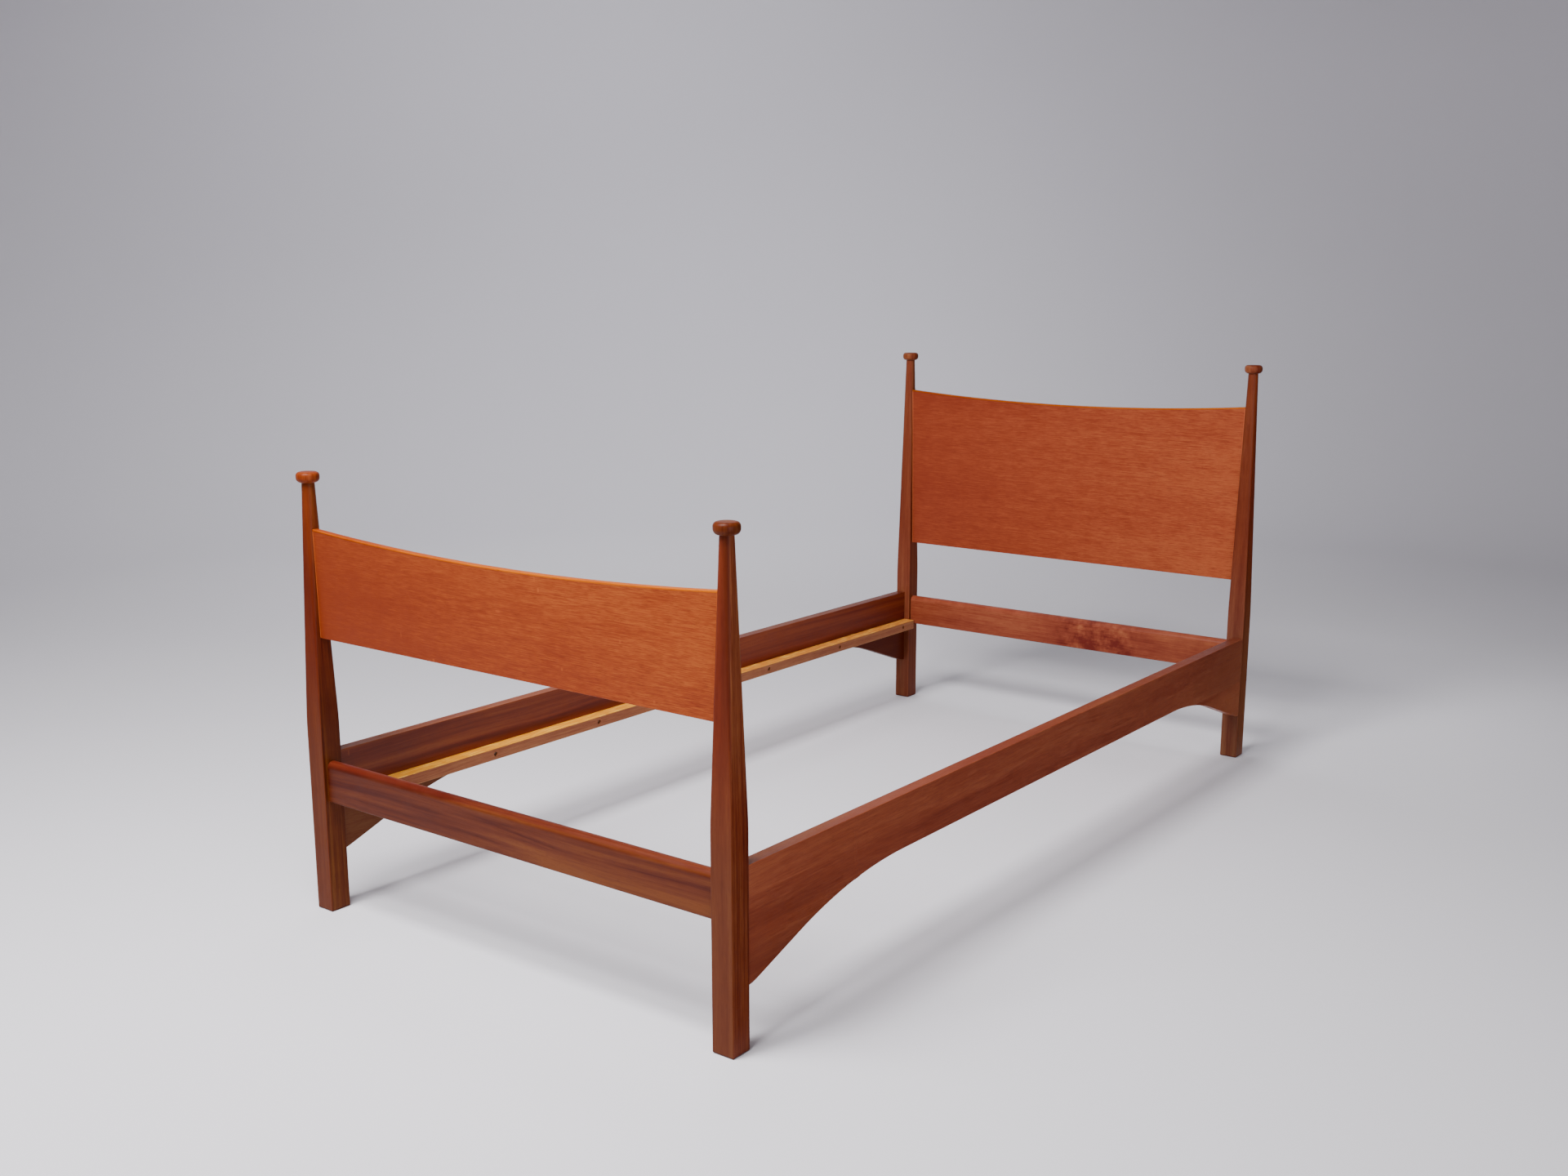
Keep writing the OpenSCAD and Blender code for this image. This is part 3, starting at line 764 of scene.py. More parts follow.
def build_timber(fibre, wander):
    """Colour, roughness and height of oiled wood whose grain runs along X."""
    tree, given, out = node_group(
        "timber",
        {"Vector": NOWHERE, "Deep": (0.05, 0.01, 0.005, 1), "Middle": (0.1, 0.03, 0.01, 1),
         "Pale": (0.2, 0.06, 0.02, 1), "Pore": (0.02, 0.005, 0.003, 1), "Wander": 0.02,
         "Tone": 0.5, "Ribbon": 0.5, "Ribbon Width": 0.012, "Streak": 0.5, "Coarseness": 1.0,
         "Grain Length": 1.0, "Fleck": 0.5, "Fleck Length": 0.014, "Mottle": 0.2, "Lift": 0.0,
         "Gain": 1.0},
        {"Color": "Color", "Roughness": "Float", "Height": "Float"})

    def run(length, width, detail):
        """Fibres of a given length and width."""
        return place_group(tree, fibre, {"Vector": spot, "Length": length, "Width": width,
                                         "Detail": detail})["Value"]

    def swing(value, amount):
        """A value from 0 to 1 made to swing round zero."""
        return maths(tree, "MULTIPLY", maths(tree, "SUBTRACT", value, 0.5), amount)

    def wide(width):
        """A width at this wood's coarseness."""
        return maths(tree, "MULTIPLY", given["Coarseness"], width)

    def long(length):
        """A length at this wood's length of grain."""
        return maths(tree, "MULTIPLY", given["Grain Length"], length)

    spot = place_group(tree, wander, {"Vector": given["Vector"],
                                      "Amount": given["Wander"]})["Vector"]
    tone = run(0.7, 0.09, 2.0)
    ribbon = run(0.9, given["Ribbon Width"], 2.0)
    streak = run(long(0.11), wide(0.0022), 3.0)
    hair = run(long(0.04), wide(0.0010), 2.0)
    fleck = run(given["Fleck Length"], wide(0.0011), 1.0)
    broad = noise(tree, spot, 28.0, 3.0, 0.6)[0]
    value = 0.0
    for part, amount in ((tone, "Tone"), (ribbon, "Ribbon"), (streak, "Streak"), (hair, "Streak"),
                         (broad, "Mottle")):
        value = maths(tree, "ADD", swing(part, given[amount]), value)
    value = maths(tree, "MULTIPLY_ADD", value, given["Gain"],
                  maths(tree, "ADD", given["Lift"], 0.5))
    low = maths(tree, "MULTIPLY", value, 2.0, clamp=True)
    high = maths(tree, "MULTIPLY_ADD", value, 2.0, -1.0, clamp=True)
    colour = blend(tree, high, blend(tree, low, given["Deep"], given["Middle"]), given["Pale"])
    pores = maths(tree, "MULTIPLY", ramp(tree, fleck, 0.56, 0.70), given["Fleck"])
    pores = maths(tree, "MULTIPLY", pores, given["Gain"], clamp=True)
    tree.links.new(blend(tree, pores, colour, given["Pore"]), out["Color"])
    dull = maths(tree, "ADD", swing(streak, 0.35), 0.5)
    dull = maths(tree, "MULTIPLY_ADD", pores, 0.35, dull)
    tree.links.new(maths(tree, "ADD", dull, swing(broad, 0.3)), out["Roughness"])
    height = maths(tree, "MULTIPLY_ADD", pores, -1.0, maths(tree, "MULTIPLY", streak, 0.5))
    tree.links.new(height, out["Height"])
    return tree


def build_rub():
    """Where hands and bedding have rubbed the arrises."""
    tree, given, out = node_group("rub", {"Vector": NOWHERE, "Amount": 0.5}, {"Mask": "Float"})
    patchy = ramp(tree, noise(tree, given["Vector"], 24.0, 4.0, 0.65)[0], 0.40, 0.62, 0.25, 1.0)
    worn = maths(tree, "MULTIPLY", attribute(tree, "arris"), patchy)
    tree.links.new(maths(tree, "MULTIPLY", worn, given["Amount"], clamp=True), out["Mask"])
    return tree


def build_knocks():
    """Small pale dents, strewn thinly and each a little ragged."""
    tree, given, out = node_group("knocks", {"Vector": NOWHERE, "Amount": 0.5}, {"Mask": "Float"})
    ragged = noise(tree, given["Vector"], 260.0)[1]
    shift = vector_maths(tree, "MULTIPLY", ragged, (0.003, 0.003, 0.003))
    spot = vector_maths(tree, "ADD", given["Vector"], shift)
    cells = add(tree, "ShaderNodeTexVoronoi", {"Vector": spot, "Scale": 24.0}).outputs
    chosen = ramp(tree, separate(tree, cells["Color"])[X], 0.72, 0.95)
    dent = ramp(tree, cells["Distance"], 0.018, 0.05, 1.0, 0.0)
    mask = maths(tree, "MULTIPLY", dent, chosen)
    tree.links.new(maths(tree, "MULTIPLY", mask, given["Amount"], clamp=True), out["Mask"])
    return tree


fibre = build_fibre()
wander = build_wander()
timber = build_timber(fibre, wander)
rub = build_rub()
knocks = build_knocks()


# Parts of a wood

# Turns of the pattern that bring its grain from X to each axis of the bed
ALONG = {X: (0, 0, 0), Y: (0, 0, -math.pi / 2), Z: (0, math.pi / 2, 0)}
NO_TINT = (1, 1, 1)
# Tints of rubbed and knocked wood and of the painted highlight where a board meets a post, of bare
# wood where it is scratched, of pores and of a line of glue
PALE_WEAR_AND_HIGHLIGHT = (1.7, 2.2, 2.4)
SCRATCHED = (1.3, 1.9, 5.0)
PORES = (0.45, 0.32, 0.35)
GLUE = (0.4, 0.3, 0.3)
# Strength of the stray knocks
KNOCKED = 0.25


def wood_figure(tree, axes, colour, contrast, grade, figure):
    """Values for the timber group: its colours, its figure, and what drifts along an axis."""
    k = contrast
    values = {"Middle": rgba(colour),
              "Deep": tint(colour, 1 - k, 1 - 1.6 * k, 1 - 1.5 * k),
              "Pale": tint(colour, 1 + k, 1 + 2.4 * k, 1 + 2.0 * k),
              "Pore": tint(colour, *PORES)}
    for key, value in figure.items():
        values[key.replace("_", " ").title()] = value
    for key, axis, low, high, start, end in grade:
        drift = add(tree, "ShaderNodeMapRange", {0: axes[axis], 1: low, 2: high, 3: start,
                                                 4: end}).outputs[0]
        values[key] = maths(tree, "ADD", drift, values[key]) if key in values else drift
    return values


def leaf_lift(tree, axes, height, slope):
    """Step in tone from one leaf of veneer to the next, with a pale line on their seam."""
    over = maths(tree, "MULTIPLY_ADD", axes[X], -slope, maths(tree, "SUBTRACT", axes[Z], height))
    seam = ramp(tree, maths(tree, "ABSOLUTE", over), 0.0006, 0.0016, 0.10, 0.0)
    return maths(tree, "ADD", ramp(tree, over, -0.001, 0.001, -0.03, 0.03), seam)


def bare_wood(tree, turned, axes, height, foot_tone, head_tone):
    """Wood that was never oiled, with the marks of the saw and pale scratches."""
    raw = blend(tree, ramp(tree, axes[Y], -0.5, 0.6), rgba(foot_tone), rgba(head_tone))
    sawn = maths(tree, "MULTIPLY_ADD", height, 1.6, 0.1, clamp=True)
    relief = blend(tree, sawn, (0.78, 0.70, 0.6, 1), (1.12, 1.16, 1.2, 1))
    raw = blend(tree, 1.0, raw, relief, "MULTIPLY")
    scratch = place_group(tree, fibre, {"Vector": turned, "Length": 0.035, "Width": 0.0022,
                                        "Detail": 0.0})["Value"]
    return blend(tree, ramp(tree, scratch, 0.60, 0.68, 0.0, 0.75), raw, tint(foot_tone, *SCRATCHED))


def shaded(tree, colour, share, place, low, high, first, last):
    """Tints a colour by a share, with one tint below low on an axis and another above high."""
    shade = blend(tree, ramp(tree, place, low, high), rgba(first), rgba(last))
    return blend(tree, share, colour, shade, "MULTIPLY")


def shoulder_wear_and_highlight_mask(tree, axes, start, slope, amount):
    """Pale line where a board meets a post, partly wear and glue at the joint and partly a painted
    highlight on its edge; the post's inner face slopes away from start.
    """
    past = maths(tree, "MULTIPLY_ADD", axes[Z], -slope,
                 maths(tree, "SUBTRACT", maths(tree, "ABSOLUTE", axes[X]), start))
    return ramp(tree, past, -0.0020, -0.0010, 0.0, amount)


def mark_mask(tree, where, place, size, amount):
    """One pale knock with soft edges."""
    off = vector_maths(tree, "DIVIDE", vector_maths(tree, "SUBTRACT", where, place), size)
    return ramp(tree, distance(tree, off), 0.4, 1.0, amount, 0.0)


def glue_mask(tree, where, axes, middle):
    """Dark line below a lipping, an arc round a height above the middle of the bed."""
    off = vector_maths(tree, "SUBTRACT", where, (0, 0, middle))
    away = distance(tree, vector_maths(tree, "MULTIPLY", off, (1, 0, 1)))
    line = ramp(tree, maths(tree, "SUBTRACT", away, PANEL_R + LIPPING_T), 0.0003, 0.0018, 0.5, 0.0)
    return maths(tree, "MULTIPLY", line, ramp(tree, axes[X], -0.25, 0.2, 1.0, 0.3))


def new_material(name):
    """Material with its node tree and its shader."""
    material = bpy.data.materials.new(name)
    material.use_nodes = True
    return material, material.node_tree, material.node_tree.nodes["Principled BSDF"]


def surface(tree, shader, colour, rough, height, strength, depth):
    """Links a colour, a roughness and a relief to a shader."""
    bump = add(tree, "ShaderNodeBump", {"Height": height, "Strength": strength, "Distance": depth})
    for label, value in (("Base Color", colour), ("Roughness", rough), ("Normal", bump.outputs[0])):
        tree.links.new(value, shader.inputs[label])


def wood(name, along, colour, contrast=0.45, offset=(0, 0, 0), squash=(1, 1, 1), dull=0.42,
         rubbed=0.35, sheen=0.13, painted_light_faces=None, turned_by=(0.72, 0.95), shades=(), grade=(),
         side_gain=None, leaf=None, shoulder_wear_and_highlight=None, joint=0.25, glued=None, marks=(), bare=None,
         **figure):
    """Oiled wood with its grain along one axis of the bed.

    grade: drifts of the figure, each its value, an axis, two places on it and the change at each.
    shades: tints, some of them painted light and shade, each an axis, two places on it and the
    tint at each, and an axis and two places between which the tint comes in, where it isn't
    everywhere.
    painted_light_faces: painted light and shade on the faces that look one way: the axis they look
    along, then an axis, its two places and their tints.
    turned_by: how far a face is turned that way where its tint starts and where it is full.
    side_gain: strength of the figure on all faces, and on those that look to the right.
    leaf, shoulder_wear_and_highlight, glued, marks, bare: what the functions above take for them.
    """
    material, tree, shader = new_material(name)
    spot = add(tree, "ShaderNodeTexCoord").outputs
    where = spot["Object"]
    facing = separate(tree, spot["Normal"])
    axes = separate(tree, where)
    turned = add(tree, "ShaderNodeMapping", {"Vector": where, "Location": offset,
                                             "Rotation": ALONG[along], "Scale": squash}).outputs[0]
    values = wood_figure(tree, axes, colour, contrast, grade, figure)
    if side_gain:
        values["Gain"] = ramp(tree, facing[X], 0.72, 0.95, *side_gain)
    if leaf:
        values["Lift"] = maths(tree, "ADD", values["Lift"], leaf_lift(tree, axes, *leaf))
    made = place_group(tree, timber, {"Vector": turned, **values})
    final = made["Color"]
    if bare:
        raw = bare_wood(tree, turned, axes, made["Height"], *bare)
        final = blend(tree, attribute(tree, "bare"), final, raw)
    if painted_light_faces:
        side, axis, *places_and_tints = painted_light_faces
        share = ramp(tree, facing[side], *turned_by)
        final = shaded(tree, final, share, axes[axis], *places_and_tints)
    for axis, low, high, first, last, *part in shades:
        share = ramp(tree, axes[part[0]], *part[1:]) if part else 1.0
        final = shaded(tree, final, share, axes[axis], low, high, first, last)
    pale = [place_group(tree, knocks, {"Vector": where, "Amount": KNOCKED})["Mask"]]
    # Pale line where a board meets a post: wear and glue, and a painted highlight on its edge
    if shoulder_wear_and_highlight:
        pale.append(shoulder_wear_and_highlight_mask(tree, axes, *shoulder_wear_and_highlight, joint))
    pale += [mark_mask(tree, where, *mark) for mark in marks]
    worn = place_group(tree, rub, {"Vector": where, "Amount": rubbed})["Mask"]
    mask = worn
    for part in pale:
        mask = maths(tree, "MAXIMUM", mask, part)
    final = blend(tree, mask, final, tint(bare[0], *SCRATCHED) if bare else tint(colour, *PALE_WEAR_AND_HIGHLIGHT))
    if glued:
        final = blend(tree, glue_mask(tree, where, axes, glued), final, tint(colour, *GLUE))
    rough = maths(tree, "MULTIPLY", made["Roughness"], dull * 2)
    rough = maths(tree, "MULTIPLY_ADD", worn, -0.1, rough, clamp=True)
    surface(tree, shader, final, rough, made["Height"], 0.25, 0.0003)
    shader.inputs["Specular IOR Level"].default_value = sheen
    return material


# Finishes

CORNERS = [f"{end_name}_{side_name}" for end_name, end in ENDS for side_name, side in SIDES]

# Tones of each corner's post and finial, and the tints of the post, which paint light and shade: a
# painted grey sheen low down, where the floor is reflected, and painted light and shade high up, on
# all its faces, and once more painted light and sheen on the face that looks to the right
POST_TONES = {"foot_left": (0.089, 0.0122, 0.0021), "foot_right": (0.094, 0.0142, 0.0030),
              "head_left": (0.146, 0.0285, 0.0085), "head_right": (0.132, 0.0290, 0.0090)}
FINIAL_TONES = {"foot_left": (0.200, 0.0370, 0.0065), "foot_right": (0.104, 0.0220, 0.0050),
                "head_left": (0.172, 0.0430, 0.0155), "head_right": (0.168, 0.0405, 0.0160)}
POST_PAINTED_LIGHT = {"foot_left": ((1.03, 1.52, 2.15), (0.97, 0.78, 0.76)),
              "foot_right": ((1.06, 1.72, 2.80), (1.12, 1.07, 1.22)),
              "head_left": ((1.1, 1.45, 2.10), (0.92, 0.90, 1.20)),
              "head_right": ((1.03, 1.42, 2.30), (0.90, 0.75, 0.88))}
SIDE_PAINTED_LIGHT = {"foot_left": ((0.88, 0.88, 0.72), (1.2, 1.6, 2.2)),
              "foot_right": ((1.20, 0.80, 0.56), (2.33, 4.26, 5.35)),
              "head_left": ((0.86, 0.67, 0.48), (1.0, 1.15, 1.05)),
              "head_right": ((1.20, 1.05, 0.78), (1.35, 1.00, 0.75))}
# Heights between which the tints for high up come in on the face that looks to the right
UPPER = (0.36, 0.62)

# Knocks on the front arris of the right foot post, and on the front of the foot panel
DENT_IN = 0.0015
POST_DENTS = [((OUTER_X - DENT_IN, DENT_IN - OUTER_Y, z), (0.003, 0.003, 0.0025), 0.5)
              for z in (0.472, 0.575, 0.619, 0.646)]
PANEL_DENTS = [((x, -PANEL_OUTER_Y, z), (wide, 0.003, high), amount) for x, z, wide, high, amount in (
    (0.099, 0.6726, 0.003, 0.005, 0.5), (0.005, 0.6266, 0.008, 0.003, 0.35),
    (0.091, 0.6916, 0.002, 0.009, 0.3), (0.147, 0.5517, 0.003, 0.004, 0.35),
    (0.273, 0.6134, 0.003, 0.004, 0.3), (0.3405, 0.530, 0.004, 0.004, 0.3),
    (-0.1575, 0.5225, 0.004, 0.003, 0.35), (-0.239, 0.555, 0.0015, 0.007, 0.25))]

VENEER = dict(contrast=0.28, tone=0.6, ribbon=0.35, ribbon_width=0.02, streak=1.7, fleck=0.42,
              coarseness=0.58, grain_length=0.45, mottle=0.4, wander=0.008, joint=0.7)


def post_wood(corner):
    """Straight-grained wood of one post, a little paler towards its neck, with painted shade at its
    toe and painted light and shade from its tints.
    """
    at_foot = corner.startswith("foot")
    neck_lift = 0.5 if corner == "foot_left" else 0.1
    shades = [(Z, 0.25, 0.55, *POST_PAINTED_LIGHT[corner])]
    # Painted shade on the upper front of the right foot post, darker towards its right edge where the
    # rounded corner turns from the light; it reaches the right face too, whose tints are raised to
    # make up for it
    if corner == "foot_right":
        shades.append((X, 0.474, 0.486, (1.10, 1.07, 1.35), (0.70, 0.62, 0.66), Z, *UPPER))
    return wood(corner + "_post_wood", Z, POST_TONES[corner],
                offset=(0.3, 0.2, 0.1 + 0.4 * CORNERS.index(corner)), squash=(0.4, 1, 1),
                tone=0.7, ribbon=1.1, ribbon_width=0.0052, streak=0.6, fleck=0.2, wander=0.004,
                rubbed=0.12, sheen=0.09, marks=POST_DENTS,
                side_gain=(0.6, 1.5) if at_foot else (0.7, 0.9),
                grade=[("Lift", Z, 0.60, 0.78, 0.0, neck_lift),
                       # Painted shade along the rounded toe
                       ("Lift", Z, 0.0005, 0.004, -0.7, 0.0)],
                painted_light_faces=(X, Z, *UPPER, *SIDE_PAINTED_LIGHT[corner]), shades=shades)


def finial_wood(corner):
    """Wood of one finial, with painted light on its left and painted shade on its right."""
    x = POST_X if corner.endswith("right") else -POST_X
    return wood(corner + "_finial_wood", Z, FINIAL_TONES[corner], contrast=0.5, tone=1.6,
                ribbon=1.0, ribbon_width=0.006, streak=0.4, fleck=0.25, mottle=0.6, dull=0.38,
                # Painted light on the left of the finial, painted shade on its right
                sheen=0.09, rubbed=0.15, grade=[("Lift", X, x - 0.02, x + 0.02, 0.18, -0.10)])


def shoulder_line(end):
    """Where the posts' tapered inner faces would meet the floor, and their slope."""
    slope = (POST_W / 2 - NECK_R) / (POST_H[end] - KNEE_Z)
    return INNER_X - slope * KNEE_Z, slope


def foot_veneer():
    """Veneer of the foot panel, with its knocks, and painted light that leaves it darker on the left
    and lighter on the right.
    """
    return wood("foot_veneer", X, (0.228, 0.0387, 0.0073), marks=PANEL_DENTS,
                shoulder_wear_and_highlight=shoulder_line(FOOT), glued=panel_edge(FOOT, 0) + PANEL_R,
                # Painted light: darker and redder to the left, lighter to the right
                grade=[("Lift", X, -0.46, 0.46, -0.44, 0.13), ("Gain", X, -0.46, 0.46, 0.8, 1.3),
                       ("Lift", Z, 0.50, 0.72, -0.12, 0.12)], **VENEER)


def head_veneer():
    """Veneer of the head panel, in two leaves with a seam that isn't quite level, and painted light
    that leaves it darker on the left and lighter on the right.
    """
    return wood("head_veneer", X, (0.236, 0.0410, 0.0137), offset=(0.7, 0.4, 0.3),
                shoulder_wear_and_highlight=shoulder_line(HEAD), glued=panel_edge(HEAD, 0) + PANEL_R,
                leaf=(0.6461, 0.0256),
                # Painted light: darker to the left, lighter to the right
                grade=[("Lift", X, -0.46, 0.46, -0.36, 0.20), ("Gain", X, -0.46, 0.46, 0.8, 1.2),
                       ("Lift", Z, 0.45, 0.84, 0.04, -0.04)], **VENEER)


def lipping_wood():
    """Lighter wood of the lippings."""
    return wood("lipping_wood", X, (0.330, 0.0630, 0.0021), contrast=0.3, tone=0.8, ribbon=0.4,
                streak=0.6, fleck=0.3, sheen=0.04, grade=[("Lift", X, -0.46, 0.1, -0.55, 0.15)])


def foot_rail_wood():
    """Dark ribboned wood of the foot cross rail, with a painted highlight on its rounded top, stronger
    towards the left.
    """
    return wood("foot_rail_wood", X, (0.087, 0.0157, 0.0035), tone=0.5, ribbon=2.6,
                ribbon_width=0.014, streak=0.5, fleck=0.2, wander=0.035, rubbed=0.08,
                # Painted highlight on the rounded top, paler and greyer towards the left
                painted_light_faces=(Z, X, -0.40, 0.15, (1.8, 2.0, 2.7), (1.0, 0.72, 1.10)), turned_by=(0.2, 0.8),
                shoulder_wear_and_highlight=(INNER_X, 0.0), grade=[("Lift", X, -0.46, 0.46, -0.22, 0.3)])


def head_rail_wood():
    """Wood of the head cross rail, dark and mottled just right of its middle, with painted shading on
    its rounded top.
    """
    return wood("head_rail_wood", X, (0.190, 0.0370, 0.0162), tone=0.7, ribbon=0.6,
                ribbon_width=0.02, streak=0.8, fleck=0.3, mottle=0.4,
                # Painted shading on the rounded top, with less sheen towards the left
                painted_light_faces=(Z, X, -0.2, 0.0, (1.05, 0.80, 0.70), (1.0, 0.95, 0.95)),
                turned_by=(0.2, 0.8), shoulder_wear_and_highlight=(INNER_X, 0.0),
                grade=[("Lift", X, -0.1, 0.04, 0.0, -0.24), ("Lift", X, 0.15, 0.28, 0, 0.36),
                       ("Mottle", X, -0.02, 0.05, 0.0, 2.8), ("Mottle", X, 0.15, 0.24, 0, -2.6)])


def right_side_wood():
    """Wood of the right side rail, with painted sheen on its top and painted light on its top and
    upper arris at the foot end, where a post's shadow falls.
    """
    return wood("right_side_wood", Y, (0.199, 0.0372, 0.0141), tone=0.6, ribbon=0.6,
                ribbon_width=0.018, streak=0.7, fleck=0.2, wander=0.03, sheen=0.25,
                # Painted sheen on the top, greyer towards the foot end
                painted_light_faces=(Z, Y, -0.6, -0.1, (0.83, 0.90, 0.97), (0.74, 0.68, 0.66)),
                shades=[(Y, -0.75, 0.2, (1.02, 0.98, 0.92), (1.12, 1.20, 1.32)),
                        (Y, 0.55, 0.85, NO_TINT, (0.82, 0.78, 0.82)),
                        (Z, 0.195, 0.265, (0.78, 0.69, 0.62), NO_TINT, Y, -0.55, -0.9),
                        # Painted light on the top at the foot end, which lifts the post's shadow there
                        (Y, -0.95, -0.87, (1.8, 1.8, 1.6), NO_TINT, Z, SIDE_TOP - 0.0015,
                         SIDE_TOP - 0.0005)],
                grade=[("Lift", Y, -0.95, -0.3, 0.22, 0.0), ("Lift", Y, 0.3, 0.95, 0.0, 0.35)],
                marks=[((SIDE_OUT, 0.189, 0.270), (0.003, 0.012, 0.006), 0.12)])


def left_side_wood():
    """Wood of the left side rail, with a knock near its foot end, painted sheen on its top, and a
    painted tint low down that takes out the ledger's yellow light.
    """
    return wood("left_side_wood", Y, (0.134, 0.0204, 0.0041), tone=0.6, ribbon=1.8,
                ribbon_width=0.012, streak=0.45, fleck=0.2, wander=0.02, sheen=0.25,
                # Painted sheen on the top, greyer towards the foot end
                painted_light_faces=(Z, Y, -0.6, 0.4, (1.39, 1.87, 2.28), (0.91, 1.22, 1.57)),
                shades=[(Y, -0.7, 0.3, (0.92, 0.92, 0.92), (1.28, 1.33, 1.25)),
                        # Painted tint low on the rail, bluer, against the yellow light that the ledger
                        # throws on to it
                        (Z, 0.222, 0.262, (0.95, 0.85, 2.2), NO_TINT)],
                grade=[("Lift", Y, 0.2, 0.95, 0.0, -0.3)],
                marks=[((-SIDE_IN, -0.924, 0.289), (0.003, 0.0022, 0.008), 0.5)])


def right_bracket_wood():
    """Wood of the right brackets, paler at the head end."""
    return wood("bracket_wood", Y, (0.162, 0.0275, 0.0088), offset=(0.37, 0.6, 0.2), tone=0.7,
                ribbon=0.5, ribbon_width=0.014, streak=0.6, fleck=0.2, wander=0.04, sheen=0.25,
                shades=[(Y, 0.3, 0.95, NO_TINT, (1.25, 1.35, 1.75)),
                        (Z, 0.13, 0.195, (0.85, 0.76, 0.70), (1.1, 1.08, 1.05), Y, 0.1, -0.1)],
                grade=[("Lift", Y, 0.3, 0.95, 0.0, 0.5)])


def left_bracket_wood():
    """Wood of the left brackets, darker at the head end."""
    return wood("left_bracket_wood", Y, (0.108, 0.0300, 0.0105), offset=(0.17, 0.3, 0.2), tone=0.7,
                ribbon=0.5, ribbon_width=0.014, streak=0.3, fleck=0.25, wander=0.04, sheen=0.06,
                shades=[(Y, -0.5, 0.5, (1.1, 1.25, 1.5), (1.3, 1.12, 0.75))],
                grade=[("Lift", Y, -0.5, 0.5, 0.0, -0.5)])


def ledger_wood():
    """Plainer wood of the ledgers, whose tops were never oiled."""
    return wood("ledger_wood", Y, (0.276, 0.093, 0.039), tone=0.7, ribbon=0.6, ribbon_width=0.01,
                streak=0.7, fleck=0.25, bare=((0.69, 0.270, 0.019), (0.61, 0.213, 0.037)))


def dull_steel():
    """Steel of the screws and plates, dulled and stained brown."""
    material, tree, shader = new_material("steel")
    where = add(tree, "ShaderNodeTexCoord").outputs["Object"]
    spots = noise(tree, where, 900.0, 4.0)[0]
    stain = ramp(tree, noise(tree, where, 160.0, 3.0)[0], 0.42, 0.62)
    colour = blend(tree, stain, (0.34, 0.29, 0.26, 1), (0.15, 0.10, 0.07, 1))
    surface(tree, shader, colour, ramp(tree, spots, 0.3, 0.7, 0.38, 0.62), spots, 0.3, 0.0001)
    shader.inputs["Metallic"].default_value = 0.5
    return material


def plain(name, colour, roughness, sheen):
    """Even finish of one colour, for the studio."""
    material, tree, shader = new_material(name)
    fill(tree, shader, {"Base Color": rgba(colour), "Roughness": roughness,
                        "Specular IOR Level": sheen})
    return material


# Camera and light

def set_camera():
    """Camera in front of the bed's right foot corner, looking down a little."""
    azimuth, down, roll = (math.radians(v) for v in (36.7367, 12.0485, 0.1003))
    place = (1.92611, -2.72288, 1.16132)
    data = bpy.data.cameras.new("camera")
    camera = bpy.data.objects.new("camera", data)
    bpy.context.scene.collection.objects.link(camera)
    bpy.context.scene.camera = camera
    ahead = Vector((-math.sin(azimuth) * math.cos(down), math.cos(azimuth) * math.cos(down),
                    -math.sin(down)))
    level = ahead.cross(Vector((0, 0, 1))).normalized()
    upright = level.cross(ahead)
    aside = math.cos(roll) * level + math.sin(roll) * upright
    above = -math.sin(roll) * level + math.cos(roll) * upright
    turn = Matrix((aside, above, -ahead)).transposed().to_4x4()
    camera.matrix_world = Matrix.Translation(place) @ turn
    data.lens = 37.058
    data.sensor_width = 36.0
    data.shift_x = -0.01371
    data.shift_y = 0.01871
    data.clip_end = 60.0


WHITE = (1, 1, 1)
COOL = (0.97, 0.98, 1.0)
COOLER = (0.94, 0.96, 1.0)


def soft_light(name, place, target, size, power, spread=180, colour=WHITE):
    """Rectangular lamp that looks at a target, with its spread in degrees."""
    data = bpy.data.lights.new(name, "AREA")
    data.shape = "RECTANGLE"
    data.size, data.size_y = size
    data.energy = power
    data.color = colour
    data.spread = math.radians(spread)
    light = bpy.data.objects.new(name, data)
    light.visible_camera = False
    bpy.context.scene.collection.objects.link(light)
    turn = (Vector(target) - Vector(place)).to_track_quat("-Z", "Y").to_matrix().to_4x4()
    light.matrix_world = Matrix.Translation(place) @ turn


def set_lights():
    """Lamps over the bed, its surroundings and its right side, and a dim world."""
    soft_light("overhead", (0.05, -1.90, 3.0), (0.0, -0.55, 0.2), (1.7, 1.1), 132, 155)
    soft_light("front", (-0.4, -3.08, 3.0), (-0.1, -1.0, 0.2), (0.9, 0.9), 55, 155)
    soft_light("back_left", (-1.3, 1.6, 3.0), (-0.4, 0.5, 0.2), (1.0, 1.0), 10)
    soft_light("wall_wash", (-2.6, 2.2, 3.6), (-4.6, 4.4, 1.0), (1.6, 1.0), 34, 136, COOLER)
    soft_light("back_row", (-2.3, 2.6, 3.2), (-2.4, 2.6, 0.0), (3.8, 0.7), 21, 118, COOL)
    soft_light("right_pool", (0.50, 1.60, 2.0), (0.50, 1.65, 0.0), (0.8, 0.5), 1.4, 60, COOL)
    soft_light("left_row", (-3.8, 0.9, 3.2), (-3.9, 0.9, 0.0), (1.4, 1.4), 6, 118, COOL)
    soft_light("side_fill", (4.7, -2.4, 0.95), (0.3, -0.4, 0.3), (1.8, 1.2), 68)
    world = bpy.data.worlds.new("studio")
    bpy.context.scene.world = world
    world.use_nodes = True
    glow = world.node_tree.nodes["Background"]
    glow.inputs["Color"].default_value = (0.93, 0.94, 1.0, 1)
    glow.inputs["Strength"].default_value = 0.04


# Studio

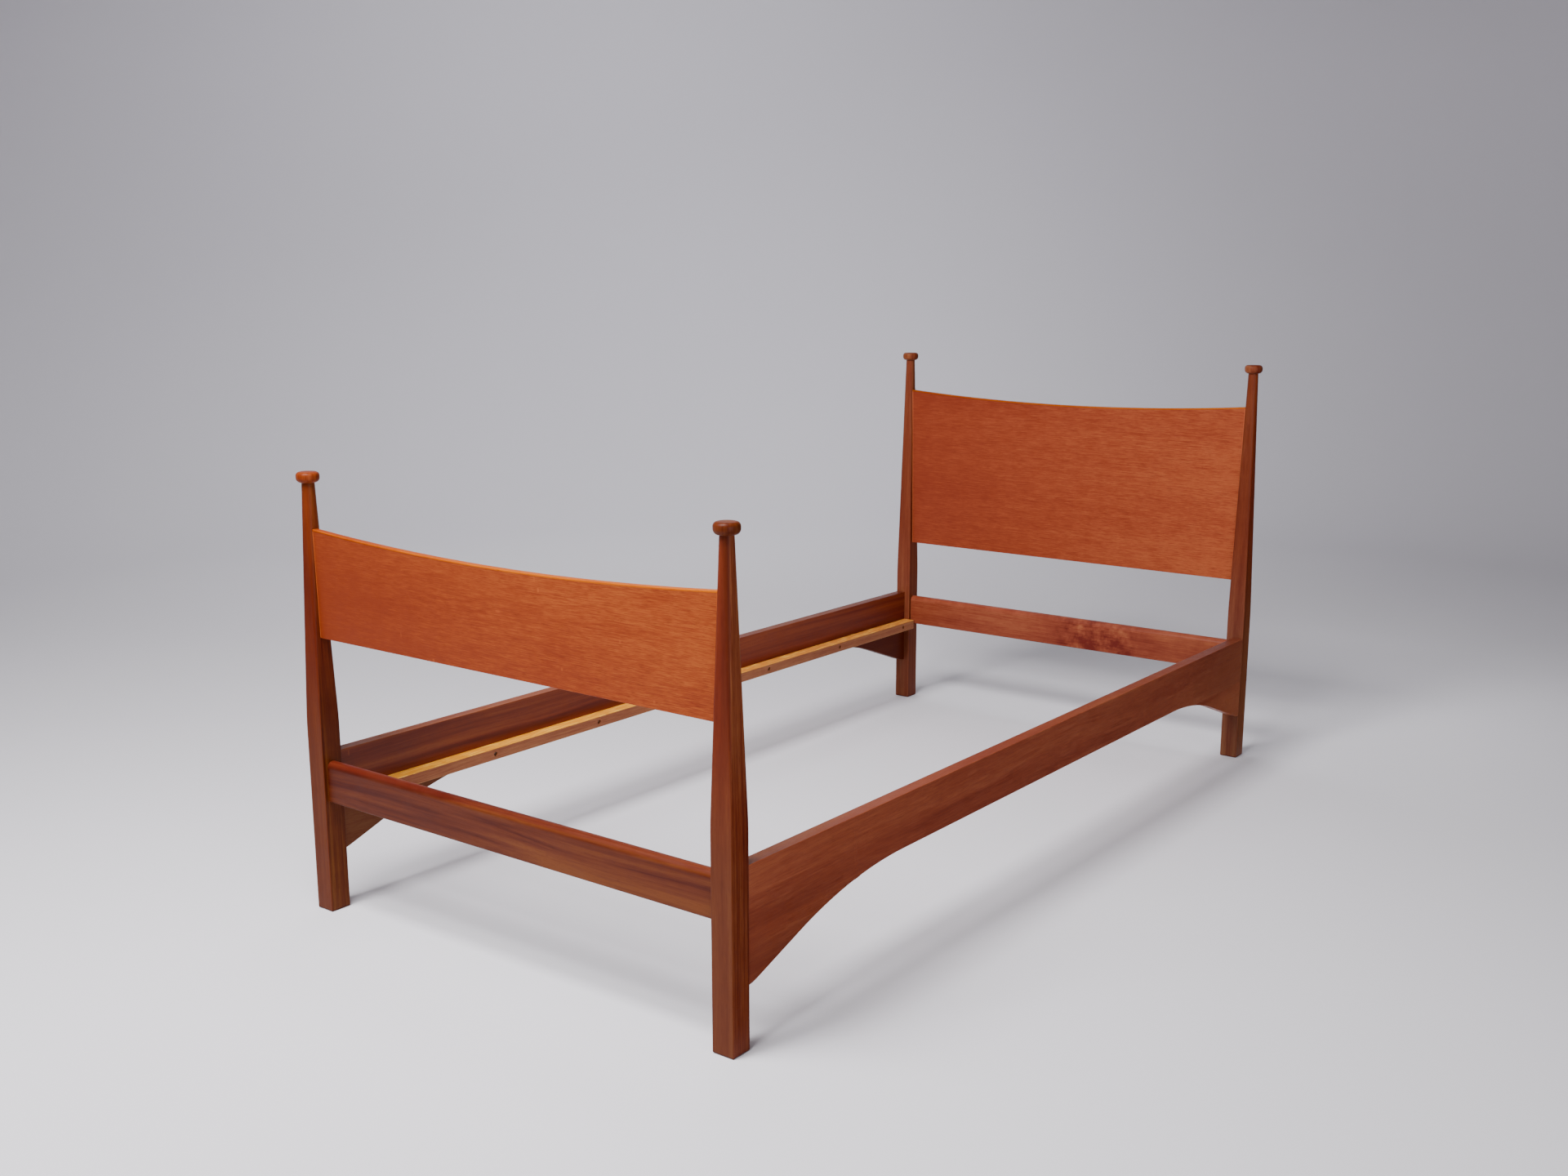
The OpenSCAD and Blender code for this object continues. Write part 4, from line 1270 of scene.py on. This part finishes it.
def studio_dish():
    """Floor that curves up all round into a low wall."""
    flat, curve, wall = 4.2, 2.2, 4.0
    profile = [(0, 0), (1, 0), (2.5, 0)]
    for i in range(13):
        a = math.pi / 2 * i / 12
        profile.append((flat + curve * math.sin(a), curve - curve * math.cos(a)))
    profile.append((flat + curve, wall))
    return spun(profile, Z, 96)


def lay_floor():
    """Paper floor of the studio."""
    floor = solid("floor", studio_dish(), 80)
    floor.data.materials.append(plain("paper", (0.742, 0.718, 0.765), 0.9, 0.1))


def stand_cards():
    """Black cards right of the bed, seen only in reflections, that keep its right faces deep."""
    black = plain("black_card", (0.004, 0.004, 0.004), 0.5, 0.0)
    for name, low, high in (("lying_card", (0.53, -1.6, 0.001), (5.5, 3.4, 0.002)),
                            ("standing_card", (0.75, 3.4, 0), (4.6, 3.401, 3.0))):
        card = solid(name, block(low, high))
        card.data.materials.append(black)
        card.visible_camera = card.visible_diffuse = card.visible_shadow = False
        card.visible_transmission = card.visible_volume_scatter = False


# The finished bed

def dress_corner(end_name, end, side_name, side, bracket_finish):
    """Post, finial and bracket of one corner."""
    corner = f"{end_name}_{side_name}"
    piece = carve(solid(corner + "_post_shaped", post(side, end)), post_joints(side, end))
    dress(piece, corner + "_post", post_wood(corner))
    dress(solid(corner + "_finial_turned", finial(side, end)), corner + "_finial",
          finial_wood(corner))
    piece = carve(solid(corner + "_bracket_shaped", bracket(side, end)), hook_recess(side, end))
    dress(piece, corner + "_bracket", bracket_finish)


def dress_end(end_name, end, veneer, lipping_finish, rail_finish):
    """Panel, lipping and cross rail of one end."""
    dress(solid(end_name + "_panel_board", panel(end)), end_name + "_panel", veneer)
    dress(solid(end_name + "_panel_edging", lipping(end)), end_name + "_panel_lipping",
          lipping_finish)
    piece = carve(solid(end_name + "_cross_rail_shaped", cross_rail(end)), tenons(end), "UNION")
    dress(piece, end_name + "_cross_rail", rail_finish)


def dress_side(side_name, side, rail_finish, ledger_finish, metal):
    """Side rail, ledger and ledger screws of one side."""
    piece = carve(solid(side_name + "_side_rail_shaped", side_rail(side)),
                  hook_recess(side, FOOT) + hook_recess(side, HEAD) + rail_holes(side))
    dress(piece, side_name + "_side_rail", rail_finish)
    piece = carve(solid(side_name + "_slat_ledger_planed", ledger(side)), ledger_holes(side))
    dress(piece, side_name + "_slat_ledger", ledger_finish)
    dress(solid(side_name + "_ledger_screws_slotted", ledger_screws(side), 30),
          side_name + "_ledger_screws", metal)


set_camera()
set_lights()
lay_floor()
stand_cards()

steel = dull_steel()
edging = lipping_wood()
bare_topped = ledger_wood()
brackets = {LEFT: left_bracket_wood(), RIGHT: right_bracket_wood()}
side_rails = {LEFT: left_side_wood(), RIGHT: right_side_wood()}
cross_rails = {FOOT: foot_rail_wood(), HEAD: head_rail_wood()}
veneers = {FOOT: foot_veneer(), HEAD: head_veneer()}

for end_name, end in ENDS:
    for side_name, side in SIDES:
        dress_corner(end_name, end, side_name, side, brackets[side])
    dress_end(end_name, end, veneers[end], edging, cross_rails[end])
for side_name, side in SIDES:
    dress_side(side_name, side, side_rails[side], bare_topped, steel)

# The plates and their screws keep their solids
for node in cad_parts.values():
    if not node.hide_render:
        for place in node.material_slots:
            place.material = steel
